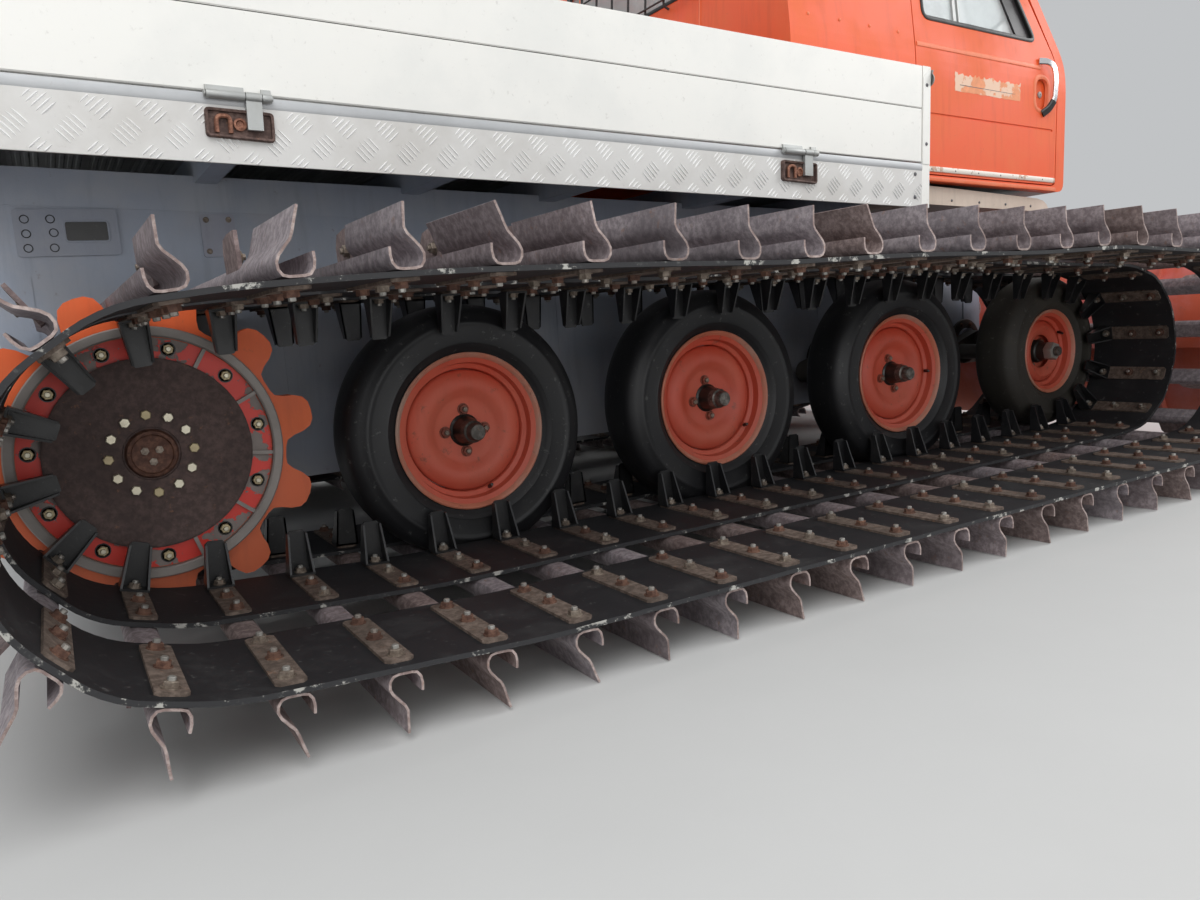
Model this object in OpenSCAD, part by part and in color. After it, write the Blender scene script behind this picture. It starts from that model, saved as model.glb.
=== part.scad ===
// Tracked snow groomer with a front blade, a two-door cab and an aluminium load bed.
// Millimetres, X forward, Y to the left, Z up, ground at z = 0.
// Inside the modules x = 0 is the first road wheel's axle. place() moves that datum to the frame's origin.

/* [Road wheels] */
// Height of the road wheel axles above the ground
axle_z = 440; // [430:5:460]
// First to second road wheel
wheel_gap_1 = 870; // [820:5:900]
// Second to third road wheel
wheel_gap_2 = 885; // [820:5:920]
// Third road wheel to front idler
idler_gap = 935; // [860:5:980]
// Lateral place of the tyres' middle plane
tyre_mid_y = 945; // [935:5:980]
// Road tyre diameter
tyre_d = 710; // [680:5:720]
// Tyre width
tyre_w = 184; // [160:2:190]
// Road wheel rim diameter over its flanges
rim_d = 440; // [400:5:460]
// Rim width over its flanges
rim_w = 150; // [130:2:156]
// Idler tyre diameter
idler_tyre_d = 632; // [600:4:632]
// Idler rim diameter over its flanges
idler_rim_d = 354; // [330:2:380]
// Height of the idler axle above the ground
idler_z = 450; // [450:2:460]
// Rim sheet thickness
rim_t = 8; // [6:1:12]
// Wheel hub radius
hub_r = 52; // [40:1:60]
// Axle stub radius
axle_r = 34; // [25:1:40]

/* [Tracks] */
// Number of cross bars on one track
bar_count = 48; // [48:1:48]
// Height of a cross bar below its belt
bar_h = 120; // [100:2:125]
// Width of a cross bar's foot on the belt
bar_foot = 60; // [50:2:66]
// Cross bar steel thickness
bar_t = 8; // [6:1:10]
// Belt thickness
belt_t = 10; // [8:1:14]
// Width of each belt
belt_w = 340; // [300:5:350]
// Free way between the two belts beside the tyres
wheel_way = 160; // [150:5:190]
// Free way between the middle and the outer belt
outer_way = 155; // [120:5:180]

/* [Drive] */
// Sprocket axle behind the first road wheel
sprocket_back = 806; // [780:2:860]
// Height of the sprocket axle above the ground
sprocket_z = 485; // [480:1:500]
// Number of sprocket teeth
tooth_count = 11; // [11:1:11]
// Radius over the tooth tips
tooth_tip_r = 388; // [375:1:392]
// Radius at the foot of the teeth
tooth_root_r = 312; // [300:1:314]
// Thickness of the tooth ring
tooth_w = 60; // [50:2:70]
// Outer radius of the steel clamp ring
clamp_r = 295; // [285:1:300]
// Thickness of the clamp ring
clamp_t = 10; // [6:1:14]
// Radius of the drive hub disc
hub_disc_r = 224; // [210:1:240]
// Radius of the final drive housing
final_drive_r = 130; // [110:2:150]

/* [Hull] */
// Half width of the hull
hull_half = 470; // [440:5:490]
// Hull plate thickness
hull_t = 10; // [8:1:14]
// Height of the hull's belly above the ground
belly_z = 300; // [280:5:320]
// Hull tail behind the first road wheel
hull_tail = 1090; // [1080:5:1130]
// Hull nose ahead of the first road wheel
hull_nose = 2960; // [2940:5:3000]

/* [Body] */
// Slope of bed and cab, nose down, in degrees
body_rake = 2.4; // [0:0.1:3]
// Height of the bed's lower line at the first road wheel
deck_z = 1130; // [1110:5:1200]
// Bed length
bed_length = 3030; // [2950:10:3060]
// Front end of the bed ahead of the first road wheel
bed_front = 1885; // [1870:5:1890]
// Half width of the bed
bed_half = 1020; // [1000:5:1060]
// Height of the chequer plate skirt
skirt_h = 160; // [140:2:180]
// Skirt plate thickness
skirt_t = 6; // [4:1:10]
// Height of the drop sides
side_h = 345; // [300:5:400]
// Thickness of the drop side boards
side_t = 28; // [22:1:35]
// Bed floor thickness
floor_t = 28; // [20:1:40]

/* [Cab] */
// Rear wall of the cab ahead of the first road wheel
cab_rear = 1290; // [1280:5:1330]
// Front wall of the cab ahead of the first road wheel
cab_front = 2862; // [2840:2:2880]
// Cab half width
cab_half = 962; // [940:2:966]
// Cab half width at the roof
roof_half = 850; // [830:5:940]
// Cab bottom above the bed's lower line
cab_low = 112; // [100:2:140]
// Cab belt line, where the windscreen begins, above the bed's lower line
belt_line = 650; // [630:5:680]
// Height above which the cab's sides lean inwards
lean_from = 560; // [540:5:620]
// Roof above the bed's lower line
roof_z = 1420; // [1380:5:1460]
// Front edge of the roof
roof_front = 2400; // [2380:5:2440]
// Wall and door thickness
cab_t = 42; // [36:1:50]
// Rear edge of the doors
door_rear = 1915; // [1905:5:1980]
// Front edge of the doors
door_front = 2804; // [2790:1:2806]
// Gap around the doors
door_gap = 5; // [4:1:8]
// Glass thickness
glass_t = 6; // [4:1:8]

/* [Blade] */
// Blade width
blade_w = 3760; // [3600:10:3760]
// Radius of the blade's curve
blade_r = 650; // [620:10:700]
// Foremost edge of the blade's end plates
blade_tip = 3560; // [3550:5:3600]
// Back of the blade ahead of the first road wheel
blade_back = 3270; // [3250:5:3300]
// Blade plate thickness
blade_t = 12; // [8:1:16]
// Height of the cutting edge above the ground
blade_low = 60; // [40:5:90]
// Height of the lift pivot
pivot_z = 430; // [410:5:450]
// Lift pivot ahead of the first road wheel
pivot_x = 3010; // [3000:5:3030]
// Lift pivot pin radius
pivot_r = 20; // [16:1:24]
// Lateral distance between the push arms
arm_spread = 640; // [600:10:700]

/* [Hitch] */
// Rear face of the hitch behind the first road wheel
hitch_back = 1330; // [1320:5:1360]
// Radius of the hitch pin bores
hitch_pin_r = 15.5; // [12.5:0.5:20]

/* [Hidden] */
fn_round = 48;
seat_gap = 0.3;
origin_x = (hitch_back - blade_tip) / 2;
// Drop of the hull's top edge below the bed's lower line
rail_drop = 40;

// Wheel table: x, z, tyre radius, rim radius
wheels = [
    [0, axle_z, tyre_d / 2, rim_d / 2],
    [wheel_gap_1, axle_z, tyre_d / 2, rim_d / 2],
    [wheel_gap_1 + wheel_gap_2, axle_z, tyre_d / 2, rim_d / 2],
    [wheel_gap_1 + wheel_gap_2 + idler_gap, idler_z, idler_tyre_d / 2, idler_rim_d / 2]
];
idler_x = wheels[3].x;

module place() { translate([origin_x, 0, 0]) children(); }
module on_body() { place() translate([0, 0, deck_z]) rotate([0, body_rake, 0]) children(); }
// side = -1 is the right-hand side, side = 1 the left-hand side
module on_side(side) { if (side > 0) children(); else mirror([0, 1, 0]) children(); }
// Extrudes an x-z outline across the vehicle between two lateral places
module across(y0, y1) {
    translate([0, y1, 0]) rotate([90, 0, 0]) linear_extrude(y1 - y0) children();
}
// A pin or tube along Y
module pin_y(x, z, r, y0, y1) {
    translate([x, y1, z]) rotate([90, 0, 0]) cylinder(r = r, h = y1 - y0, $fn = fn_round);
}
// A pin or tube along X
module along_x(x0, x1, y, z, r) {
    translate([x0, y, z]) rotate([0, 90, 0]) cylinder(r = r, h = x1 - x0, $fn = fn_round);
}
module box(x0, x1, y0, y1, z0, z1) { translate([x0, y0, z0]) cube([x1 - x0, y1 - y0, z1 - z0]); }

function unit(v) = v / norm(v);
function arc(cx, cz, r, a0, a1, n) =
    [for (i = [0:n]) let (a = a0 + (a1 - a0) * i / n) [cx + r * cos(a), cz + r * sin(a)]];
// Moves each edge of a counter-clockwise outline inwards by t
function inset(p, t) = [for (i = [0:len(p) - 1]) let (
    a = unit(p[i] - p[(i + len(p) - 1) % len(p)]), b = unit(p[(i + 1) % len(p)] - p[i]),
    na = [-a.y, a.x], nb = [-b.y, b.x]) p[i] + (na + nb) * t / (1 + na * nb)];
// Rounds each corner of an outline by a curve that starts c before it
function rounded(p, c, n = 4) = [for (i = [0:len(p) - 1]) let (
    q = p[i], a = q + unit(p[(i + len(p) - 1) % len(p)] - q) * c[i],
    b = q + unit(p[(i + 1) % len(p)] - q) * c[i])
    if (c[i] == 0) q else each [for (k = [0:n]) let (t = k / n)
        (1 - t) * (1 - t) * a + 2 * t * (1 - t) * q + t * t * b]];

// Track route
bar_pitch = 189;
belt_low = bar_h;
seat_half_angle = 180 / tooth_count;
wrap_r = bar_pitch / (2 * sin(seat_half_angle));
idler_wrap_r = (idler_tyre_d / 2 + belt_t / 2) / cos(seat_half_angle);
approach_angle = 3;
top_slope = 4;
// Top run: x from the first road wheel, z of the bars' seats
top_run = [[2250, 806], [1750, 832], [1310, 824], [870, 833], [430, 826], [0, 835], [-400, 836]];
route = concat(
    arc(-sprocket_back, sprocket_z, wrap_r, 92, 270 - approach_angle, 30),
    [[-240, belt_low]],
    arc(idler_x, belt_low + idler_wrap_r, idler_wrap_r, -90, 90 - top_slope, 30),
    top_run);
function closed_step(p, i) = norm(p[(i + 1) % len(p)] - p[i % len(p)]);
route_s = [for (i = 0, s = 0; i <= len(route); s = s + closed_step(route, i), i = i + 1) s];
route_length = route_s[len(route)];
function route_at(s) = let (
    w = s - floor(s / route_length) * route_length,
    i = len([for (c = route_s) if (c <= w) c]) - 1,
    a = route[i % len(route)], b = route[(i + 1) % len(route)])
    a + (b - a) * (w - route_s[i]) / norm(b - a);
// Corners of the belt lie midway between the bars, so that each bar has a flat seat
bar_step = route_length / bar_count;
corner = [for (k = [0:bar_count - 1]) route_at((k + 0.5) * bar_step)];
function ring_at(k) = corner[(k + bar_count) % bar_count];
function outward(k) = let (d = unit(ring_at(k + 1) - ring_at(k))) [d.y, -d.x];
// Corner k moved out of the loop by t
function moved(k, t) = let (a = outward(k - 1), b = outward(k)) ring_at(k) + (a + b) * t / (1 + a * b);
// Bar section: place along the belt, distance out of it
bar_section = [
    [-bar_foot / 2, 0], [-bar_foot / 2 - 3, bar_h / 3], [-bar_foot / 5, bar_h / 2],
    [0, bar_h], [bar_t, bar_h], [bar_t / 2, bar_h / 2], [bar_foot / 2, bar_h / 3], [bar_foot / 2, 0]];
function bar_points(k) = let (a = ring_at(k), b = ring_at(k + 1), d = unit(b - a), m = (a + b) / 2)
    [for (q = bar_section) m + d * q.x + [d.y, -d.x] * q.y];
outer_line = [for (k = [0:bar_count - 1]) each concat([ring_at(k)], bar_points(k))];
inner_line = [for (k = [0:bar_count - 1]) moved(k, -belt_t)];
module shod_loop() {
    n = len(outer_line);
    polygon(concat(outer_line, inner_line), [[for (i = [0:n - 1]) i], [for (i = [0:bar_count - 1]) n + i]]);
}
// What is taken away in the ways between the belts, a little wider than the belts are thick
way_play = 1;
module bare_loop() {
    polygon([for (t = [way_play, -belt_t - way_play], k = [0:bar_count - 1]) moved(k, t)],
        [[for (i = [0:bar_count - 1]) i], [for (i = [0:bar_count - 1]) bar_count + i]]);
}
// Belts from the middle plane of the tyres outwards: inner edge, outer edge
inner_belt = [-wheel_way / 2 - belt_w, -wheel_way / 2];
middle_belt = [wheel_way / 2, wheel_way / 2 + belt_w];
outer_belt = [middle_belt[1] + outer_way, middle_belt[1] + outer_way + belt_w];
// Ways between the belts, where the bars lie bare
ways = [[inner_belt[1], middle_belt[0]], [middle_belt[1], outer_belt[0]]];

// Cab outlines in the body's frame: x-z from the side, y-z from the front
cab_side = [[cab_rear, cab_low], [cab_front, cab_low], [cab_front, belt_line],
    [roof_front, roof_z], [cab_rear + 30, roof_z], [cab_rear, belt_line + 50]];
cab_side_round = [20, 40, 60, 90, 90, 60];
cab_face = [[-cab_half, cab_low], [cab_half, cab_low], [cab_half, lean_from],
    [roof_half, roof_z], [-roof_half, roof_z], [-cab_half, lean_from]];
cab_face_round = [0, 0, 60, 110, 110, 60];
pillar_slope = (cab_front - roof_front) / (roof_z - belt_line);
door_top = roof_z - 90;
door_low = cab_low + 22;
door_outline = [[door_rear, door_low], [door_front, door_low], [door_front, belt_line],
    [door_front - pillar_slope * (door_top - belt_line), door_top], [door_rear, door_top]];
// The leaf's upper front corner keeps back from the pillar, because it swings past it on an upright axis
door_relief = 30;
door_leaf = [for (i = [0:4]) door_outline[i] - [i == 3 ? door_relief : 0, 0]];
door_round = [20, 30, 40, 60, 40];
window_low = 713;
window_border = 58;
window_front = 2678;
window_top = door_top - window_border;
window_outline = [[door_rear + window_border, window_low], [window_front, window_low],
    [window_front - pillar_slope * (window_top - window_low), window_top],
    [door_rear + window_border, window_top]];
window_round = [40, 50, 60, 40];
rear_side_outline = [[cab_rear + 110, window_low + 50], [door_rear - 90, window_low + 50],
    [door_rear - 90, window_top], [cab_rear + 120, window_top]];
door_hinge_r = 8;
door_pin_r = 4;
door_hinge_y = cab_half + 12;
door_hinge_z = [240, 420];
strap_t = 6;
// A knuckle or pin of the door hinges: height within the hinge, lower and upper end
module door_knuckle(z, r, z0, z1) {
    translate([door_rear, door_hinge_y, z + z0]) cylinder(r = r, h = z1 - z0, $fn = fn_round);
}
module fixed_door_hinge(z) {
    for (h = [[-40, -16], [16, 40]]) {
        door_knuckle(z, door_hinge_r, h[0], h[1]);
        box(door_rear - 60, door_rear, cab_half - 1, cab_half + strap_t, z + h[0], z + h[1]);
    }
    door_knuckle(z, door_pin_r, -39, 39);
}
module moving_door_hinge(z) {
    difference() {
        union() {
            door_knuckle(z, door_hinge_r, -14, 14);
            box(door_rear, door_rear + 70, cab_half - 1, cab_half + strap_t, z - 14, z + 14);
        }
        door_knuckle(z, door_pin_r + 0.05, -15, 15);
    }
}

module chassis_hull() {
    function top_at(x) = deck_z - rail_drop - tan(body_rake) * x;
    side = [[-hull_tail + 120, belly_z], [hull_nose - 260, belly_z], [hull_nose, belly_z + 240],
        [hull_nose, top_at(hull_nose)], [-hull_tail, top_at(-hull_tail)], [-hull_tail, belly_z + 200]];
    color("lightgray") place() difference() {
        union() {
            across(-hull_half, hull_half) polygon(side);
            for (w = wheels) pin_y(w.x + 150, w.y + 40, 62, -hull_half - 26, hull_half + 26);
        }
        across(-hull_half + hull_t, hull_half - hull_t)
            polygon([for (i = [0:5]) inset(side, hull_t)[i] + (i == 3 || i == 4 ? [0, hull_t * 2] : [0, 0])]);
    }
}
module engine_block() {
    color("dimgray") place() box(640, 1540, -330, 330, belly_z + hull_t, 980);
}
module suspension_arms(side) {
    inner = hull_half + 26;
    color("gray") place() on_side(side) for (w = wheels) {
        px = w.x + 150;
        pz = w.y + 40;
        union() {
            hull() {
                pin_y(px, pz, 50, inner + seat_gap, inner + 60);
                pin_y(w.x, w.y, 44, inner + seat_gap, inner + 60);
            }
            pin_y(w.x, w.y, axle_r, inner + 40, tyre_mid_y - 18 - seat_gap);
        }
    }
}
// Rim section for a radius over the flanges: radius, lateral place, outboard positive
function rim_section(r) = [
    [hub_r + 1, 22], [hub_r + 58, 24], [r - 66, 4], [r - 40, 10], [r - 40, -22], [r - 22, -34],
    [r - 22, -rim_w / 2 + rim_t], [r, -rim_w / 2 + rim_t], [r, -rim_w / 2], [r - 22 - rim_t, -rim_w / 2],
    [r - 22 - rim_t, -40], [r - 48, -28], [r - 48, 0], [r - 68, -6], [hub_r + 58, 14], [hub_r + 1, 12]];
function rim_barrel(r) = [
    [r - 48, 9], [r - 40, 9], [r - 40, 26], [r - 22, 38], [r - 22, rim_w / 2 - rim_t], [r, rim_w / 2 - rim_t],
    [r, rim_w / 2], [r - 22 - rim_t, rim_w / 2], [r - 22 - rim_t, 44], [r - 48, 32]];
module turned(w, pts) {
    translate([w.x, tyre_mid_y, w.y]) rotate([-90, 0, 0]) rotate_extrude($fn = 64) polygon(pts);
}
module rims(side) {
    color("orangered") place() on_side(side) for (w = wheels) union() {
        turned(w, rim_section(w[3]));
        turned(w, rim_barrel(w[3]));
        pin_y(w.x, w.y, hub_r + 1, tyre_mid_y - 18, tyre_mid_y + 62);
        pin_y(w.x, w.y, 26, tyre_mid_y + 60, tyre_mid_y + rim_w / 2 + 44);
    }
}
module tyres(side) {
    h = tyre_w / 2;
    color("black") place() on_side(side) for (w = wheels) {
        r = w[2];
        bead = w[3] - 21;
        difference() {
            turned(w, [[bead, -rim_w / 2 + rim_t + seat_gap], [w[3] + seat_gap, -rim_w / 2 + rim_t + seat_gap],
                [w[3] + 14, -h], [r - 36, -h + 4], [r - 8, -h + 26], [r, -h + 48],
                [r, h - 48], [r - 8, h - 26], [r - 36, h - 4], [w[3] + 14, h],
                [w[3] + seat_gap, rim_w / 2 - rim_t - seat_gap], [bead, rim_w / 2 - rim_t - seat_gap]]);
            box(w.x - r, w.x + r, tyre_mid_y - tyre_w, tyre_mid_y + tyre_w, 0, belt_low + seat_gap);
            for (y = [tyre_mid_y - tyre_w, tyre_mid_y + wheel_way / 2 - seat_gap])
                box(w.x - r, w.x + r, y, y + tyre_w - wheel_way / 2 + seat_gap, 0, belt_low + belt_t + seat_gap);
        }
    }
}
module track(side) {
    color("dimgray") place() on_side(side) difference() {
        across(tyre_mid_y + inner_belt[0], tyre_mid_y + outer_belt[1]) shod_loop();
        for (w = ways) across(tyre_mid_y + w[0], tyre_mid_y + w[1]) bare_loop();
    }
}
// One tooth: angle within the pitch, share of the tooth height
tooth_form = [[0, 1], [0.10, 0.98], [0.18, 0.86], [0.235, 0.6], [0.27, 0.3], [0.33, 0.06], [0.42, 0]];
module tooth_ring() {
    pitch = 360 / tooth_count;
    rise = tooth_tip_r - tooth_root_r;
    half = [for (q = tooth_form) q];
    both = concat([for (i = [len(half) - 1:-1:1]) [-half[i].x, half[i].y]], half);
    difference() {
        polygon([for (k = [0:tooth_count - 1]) each [for (q = both) let (
            a = (k + q.x) * pitch, r = tooth_root_r + rise * q.y) [r * cos(a), r * sin(a)]]]);
        circle(r = hub_disc_r - 10, $fn = fn_round);
    }
}
// The nearest bar seat to the rear of the sprocket sets the teeth's angle
rear_seat = [for (k = [0:bar_count - 1]) let (m = (ring_at(k) + ring_at(k + 1)) / 2 - [-sprocket_back, sprocket_z])
    if (m.x < 0 && abs(m.y) < bar_pitch / 2) atan2(m.y, m.x)][0];
module sprocket(side) {
    color("orange") place() on_side(side)
        translate([-sprocket_back, tyre_mid_y + tooth_w / 2, sprocket_z]) rotate([90, 0, 0])
        linear_extrude(tooth_w) rotate(rear_seat + 180 / tooth_count) tooth_ring();
}
module drive_hub(side) {
    x = -sprocket_back;
    y = tyre_mid_y + tooth_w / 2;
    color("gray") place() on_side(side) union() {
        pin_y(x, sprocket_z, final_drive_r, hull_half + seat_gap, tyre_mid_y - tooth_w / 2 - 8);
        pin_y(x, sprocket_z, clamp_r - 20, tyre_mid_y - tooth_w / 2 - 10, tyre_mid_y - tooth_w / 2 - seat_gap);
        pin_y(x, sprocket_z, hub_disc_r - 12, tyre_mid_y - tooth_w / 2 - 9, y + 4);
        pin_y(x, sprocket_z, clamp_r, y + seat_gap, y + clamp_t);
        pin_y(x, sprocket_z, hub_disc_r, y + clamp_t - 1, y + clamp_t + 10);
        pin_y(x, sprocket_z, 54, y + clamp_t + 9, y + clamp_t + 26);
    }
}

bed_rear = bed_front - bed_length;
floor_z = skirt_h - floor_t;
cover_half = 500;
cover_rear = 690;
cover_front = cab_rear - 12;
cover_h = 680;
module bed_floor() {
    color("silver") on_body() difference() {
        box(bed_rear + 6, cab_rear - 14, -bed_half + skirt_t, bed_half - skirt_t, floor_z, skirt_h);
        box(cover_rear, cab_rear, -cover_half - 1, cover_half + 1, floor_z - 1, skirt_h + 1);
    }
}
module bed_frame() {
    rail_in = hull_half - 60;
    function cross_end(x) = x > bed_front ? hull_half + 30 : bed_half - skirt_t;
    color("gray") on_body() union() {
        for (s = [-1, 1]) on_side(s)
            box(bed_rear + 6, cab_front - 120, rail_in, hull_half, -rail_drop + seat_gap, 60);
        for (x = [bed_rear + 20, -560, 60, 560, 1180, 1800, cab_front - 200])
            box(x, x + 60, -cross_end(x), cross_end(x), 40, x > cab_rear - 60 ? cab_low - seat_gap : floor_z);
    }
}
bed_hinge_z = skirt_h - 6;
bed_hinge_r = 12;
bed_hinge_y = bed_half + bed_hinge_r + 2;
bed_pin_r = 6;
hinge_x = [bed_front - 620, bed_rear + 620];
// Fixed half of a bed hinge, along X: two lugs on the skirt and the pin between them
module fixed_hinge(x) {
    for (s = [-1, 1]) {
        along_x(x + s * 36 - 10, x + s * 36 + 10, bed_hinge_y, bed_hinge_z, bed_hinge_r);
        box(x + s * 36 - 10, x + s * 36 + 10, bed_half - 1, bed_half + 5, bed_hinge_z - 70, bed_hinge_z);
    }
    box(x - 46, x + 46, bed_half - 1, bed_half + 5, bed_hinge_z - 96, bed_hinge_z - 22);
    along_x(x - 40, x + 40, bed_hinge_y, bed_hinge_z, bed_pin_r);
}
module bed_skirt() {
    color("gainsboro") on_body() union() {
        difference() {
            box(bed_rear, bed_front, -bed_half, bed_half, 0, skirt_h);
            box(bed_rear + skirt_t, bed_front + 1, -bed_half + skirt_t, bed_half - skirt_t, -1, skirt_h + 1);
        }
        for (s = [-1, 1], x = hinge_x) on_side(s) fixed_hinge(x);
        for (y = tail_hinge_y) tail_turn() fixed_hinge(y);
    }
}
post_w = 42;
post_inset = 30;
board_z0 = skirt_h + 4;
board_z1 = board_z0 + side_h;
module bed_posts() {
    color("gainsboro") on_body() for (s = [-1, 1]) on_side(s) {
        box(bed_front + seat_gap, bed_front + post_w, bed_half - side_t, bed_half, 0, board_z1);
        box(bed_rear, bed_rear + post_w, bed_half - side_t - post_inset, bed_half, skirt_h + seat_gap, board_z1);
    }
}
// Moving half of a bed hinge, with a bore for the pin
module moving_hinge(x) {
    box(x - 60, x + 60, bed_half - 1, bed_half + 6, board_z0 + 6, board_z0 + 50);
    difference() {
        union() {
            along_x(x - 24, x + 24, bed_hinge_y, bed_hinge_z, bed_hinge_r);
            box(x - 24, x + 24, bed_half + 2, bed_half + 6, bed_hinge_z, board_z0 + 7);
        }
        along_x(x - 25, x + 25, bed_hinge_y, bed_hinge_z, bed_pin_r + 0.05);
    }
}
module drop_side(side) {
    color("gainsboro") on_body() on_side(side) union() {
        box(bed_rear + post_w + 4, bed_front - 4, bed_half - side_t, bed_half, board_z0, board_z1);
        for (x = hinge_x) moving_hinge(x);
    }
}
// Brings a hinge made for the bed's side to its rear end, x becoming the lateral place
module tail_turn() { translate([bed_rear + bed_half, 0, 0]) rotate([0, 0, 90]) children(); }
tail_hinge_y = [-600, 600];
tail_half = bed_half - side_t - post_inset - 4;
module tailgate() {
    color("gainsboro") on_body() union() {
        box(bed_rear, bed_rear + side_t, -tail_half, tail_half, board_z0, board_z1);
        for (y = tail_hinge_y) tail_turn() moving_hinge(y);
    }
}
lid_hinge_x = cover_front - 34;
lid_hinge_z = cover_h + 16;
lid_hinge_r = 8;
lid_pin_r = 4;
lid_hinge_y = [-320, 320];
module fixed_lid_hinge(y) {
    for (s = [-1, 1]) {
        pin_y(lid_hinge_x, lid_hinge_z, lid_hinge_r, y + s * 30 - 10, y + s * 30 + 10);
        box(lid_hinge_x - 4, lid_hinge_x + 20, y + s * 30 - 10, y + s * 30 + 10, cover_h - 1, lid_hinge_z);
    }
    pin_y(lid_hinge_x, lid_hinge_z, lid_pin_r, y - 39, y + 39);
}
module engine_cover() {
    t = 6;
    outline = [[cover_rear, skirt_h], [cover_front, skirt_h], [cover_front, cover_h], [cover_rear + 150, cover_h],
        [cover_rear + 10, cover_h - 240]];
    color("orangered") on_body() union() {
        difference() {
            across(-cover_half, cover_half) polygon(outline);
            across(-cover_half + t, cover_half - t) polygon([for (i = [0:4]) inset(outline, t)[i]
                + (i < 2 ? [0, -2 * t] : [0, 0])]);
            box(cover_rear + 190, cover_front - 40, -cover_half + 60, cover_half - 60, cover_h - 20, cover_h + 1);
        }
        for (y = lid_hinge_y) fixed_lid_hinge(y);
    }
}
module engine_lid() {
    color("orangered") on_body() difference() {
        union() {
            box(cover_rear + 170, lid_hinge_x - 12, -cover_half + 40, cover_half - 40, cover_h + 1, cover_h + 9);
            for (y = lid_hinge_y) {
                pin_y(lid_hinge_x, lid_hinge_z, lid_hinge_r, y - 18, y + 18);
                box(lid_hinge_x - 60, lid_hinge_x, y - 18, y + 18, cover_h + 8, cover_h + 13);
            }
        }
        for (y = lid_hinge_y) pin_y(lid_hinge_x, lid_hinge_z, lid_pin_r + 0.05, y - 19, y + 19);
    }
}
module cab_solid(t) {
    intersection() {
        across(-cab_half - 10, cab_half + 10) polygon(rounded(inset(cab_side, t), cab_side_round));
        translate([cab_rear - 10, 0, 0]) rotate([90, 0, 90]) linear_extrude(cab_front - cab_rear + 20)
            polygon(rounded(inset(cab_face, t), cab_face_round));
    }
}
module cab_walls() {
    difference() {
        cab_solid(0);
        cab_solid(cab_t);
        box(cab_rear + cab_t, cab_front - cab_t, -cab_half + cab_t, cab_half - cab_t, cab_low - 1, cab_low + cab_t + 50);
    }
}
module screen_prism() {
    mid = [(cab_front + roof_front) / 2, (belt_line + roof_z) / 2];
    high = norm([cab_front - roof_front, roof_z - belt_line]) - 170;
    translate([mid.x, 0, mid.y]) rotate([0, -atan(pillar_slope), 0])
        translate([-150, -roof_half + 90, -high / 2]) cube([300, 2 * roof_half - 180, high]);
}
rear_window_half = 560;
rear_window_low = 875;
module rear_prism() {
    box(cab_rear - 20, cab_rear + 90, -rear_window_half, rear_window_half, rear_window_low, window_top - 20);
}
module side_prism(outline, y0 = cab_half - 200, y1 = cab_half + 20) { across(y0, y1) polygon(outline); }
module cab_shell() {
    color("orangered") on_body() union() {
        difference() {
            cab_walls();
            screen_prism();
            rear_prism();
            for (s = [-1, 1]) on_side(s) {
                side_prism(rounded(door_outline, door_round));
                side_prism(rear_side_outline);
            }
        }
        for (s = [-1, 1], z = door_hinge_z) on_side(s) fixed_door_hinge(z);
    }
}
module cab_floor() {
    color("dimgray") on_body() box(cab_rear + cab_t + seat_gap, cab_front - cab_t - seat_gap,
        -cab_half + cab_t + seat_gap, cab_half - cab_t - seat_gap, cab_low, cab_low + 20);
}
module glass_skin() { difference() { cab_solid(cab_t / 2); cab_solid(cab_t / 2 + glass_t); } }
module windscreen() { color("lightblue") on_body() intersection() { glass_skin(); screen_prism(); } }
module cab_glass() {
    color("lightblue") on_body() intersection() {
        glass_skin();
        union() {
            rear_prism();
            for (s = [-1, 1]) on_side(s) side_prism(rear_side_outline);
        }
    }
}
// Hand recess behind the door handle, and the long groove below it
handle_recess = [[2652, 440], [2738, 440], [2738, 568], [2652, 568]];
handle_round = [36, 24, 24, 36];
recess_deep = 16;
groove_deep = 4;
groove_z = 358;
module door(side) {
    color("orangered") on_body() on_side(side) union() {
        difference() {
            intersection() {
                cab_walls();
                side_prism(rounded(inset(door_leaf, door_gap), door_round));
            }
            side_prism(rounded(window_outline, window_round));
            side_prism(rounded(handle_recess, handle_round), cab_half - recess_deep);
            box(door_rear + 60, door_front - 30, cab_half - groove_deep, cab_half + 1, groove_z, groove_z + 9);
        }
        for (z = door_hinge_z) moving_door_hinge(z);
    }
}
module door_glass(side) {
    color("lightblue") on_body() on_side(side) intersection() {
        glass_skin();
        side_prism(rounded(window_outline, window_round));
    }
}
seat_y = 420;
module seats() {
    base_z = cab_low + 20;
    color("black") on_body() for (s = [-1, 1]) translate([0, s * seat_y, 0]) union() {
        box(1720, 2080, -200, 200, base_z + seat_gap, base_z + 230);
        box(1640, 2140, -250, 250, base_z + 229, base_z + 350);
        translate([1640, 0, base_z + 300]) rotate([0, -8, 0]) box(0, 120, -240, 240, 0, 560);
    }
}
module dashboard() {
    base_z = cab_low + 20 + seat_gap;
    color("dimgray") on_body() across(-700, 700)
        polygon([[2560, base_z], [2760, base_z], [2800, 600], [2760, 680], [2480, 690], [2440, 620], [2560, 520]]);
}
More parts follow.
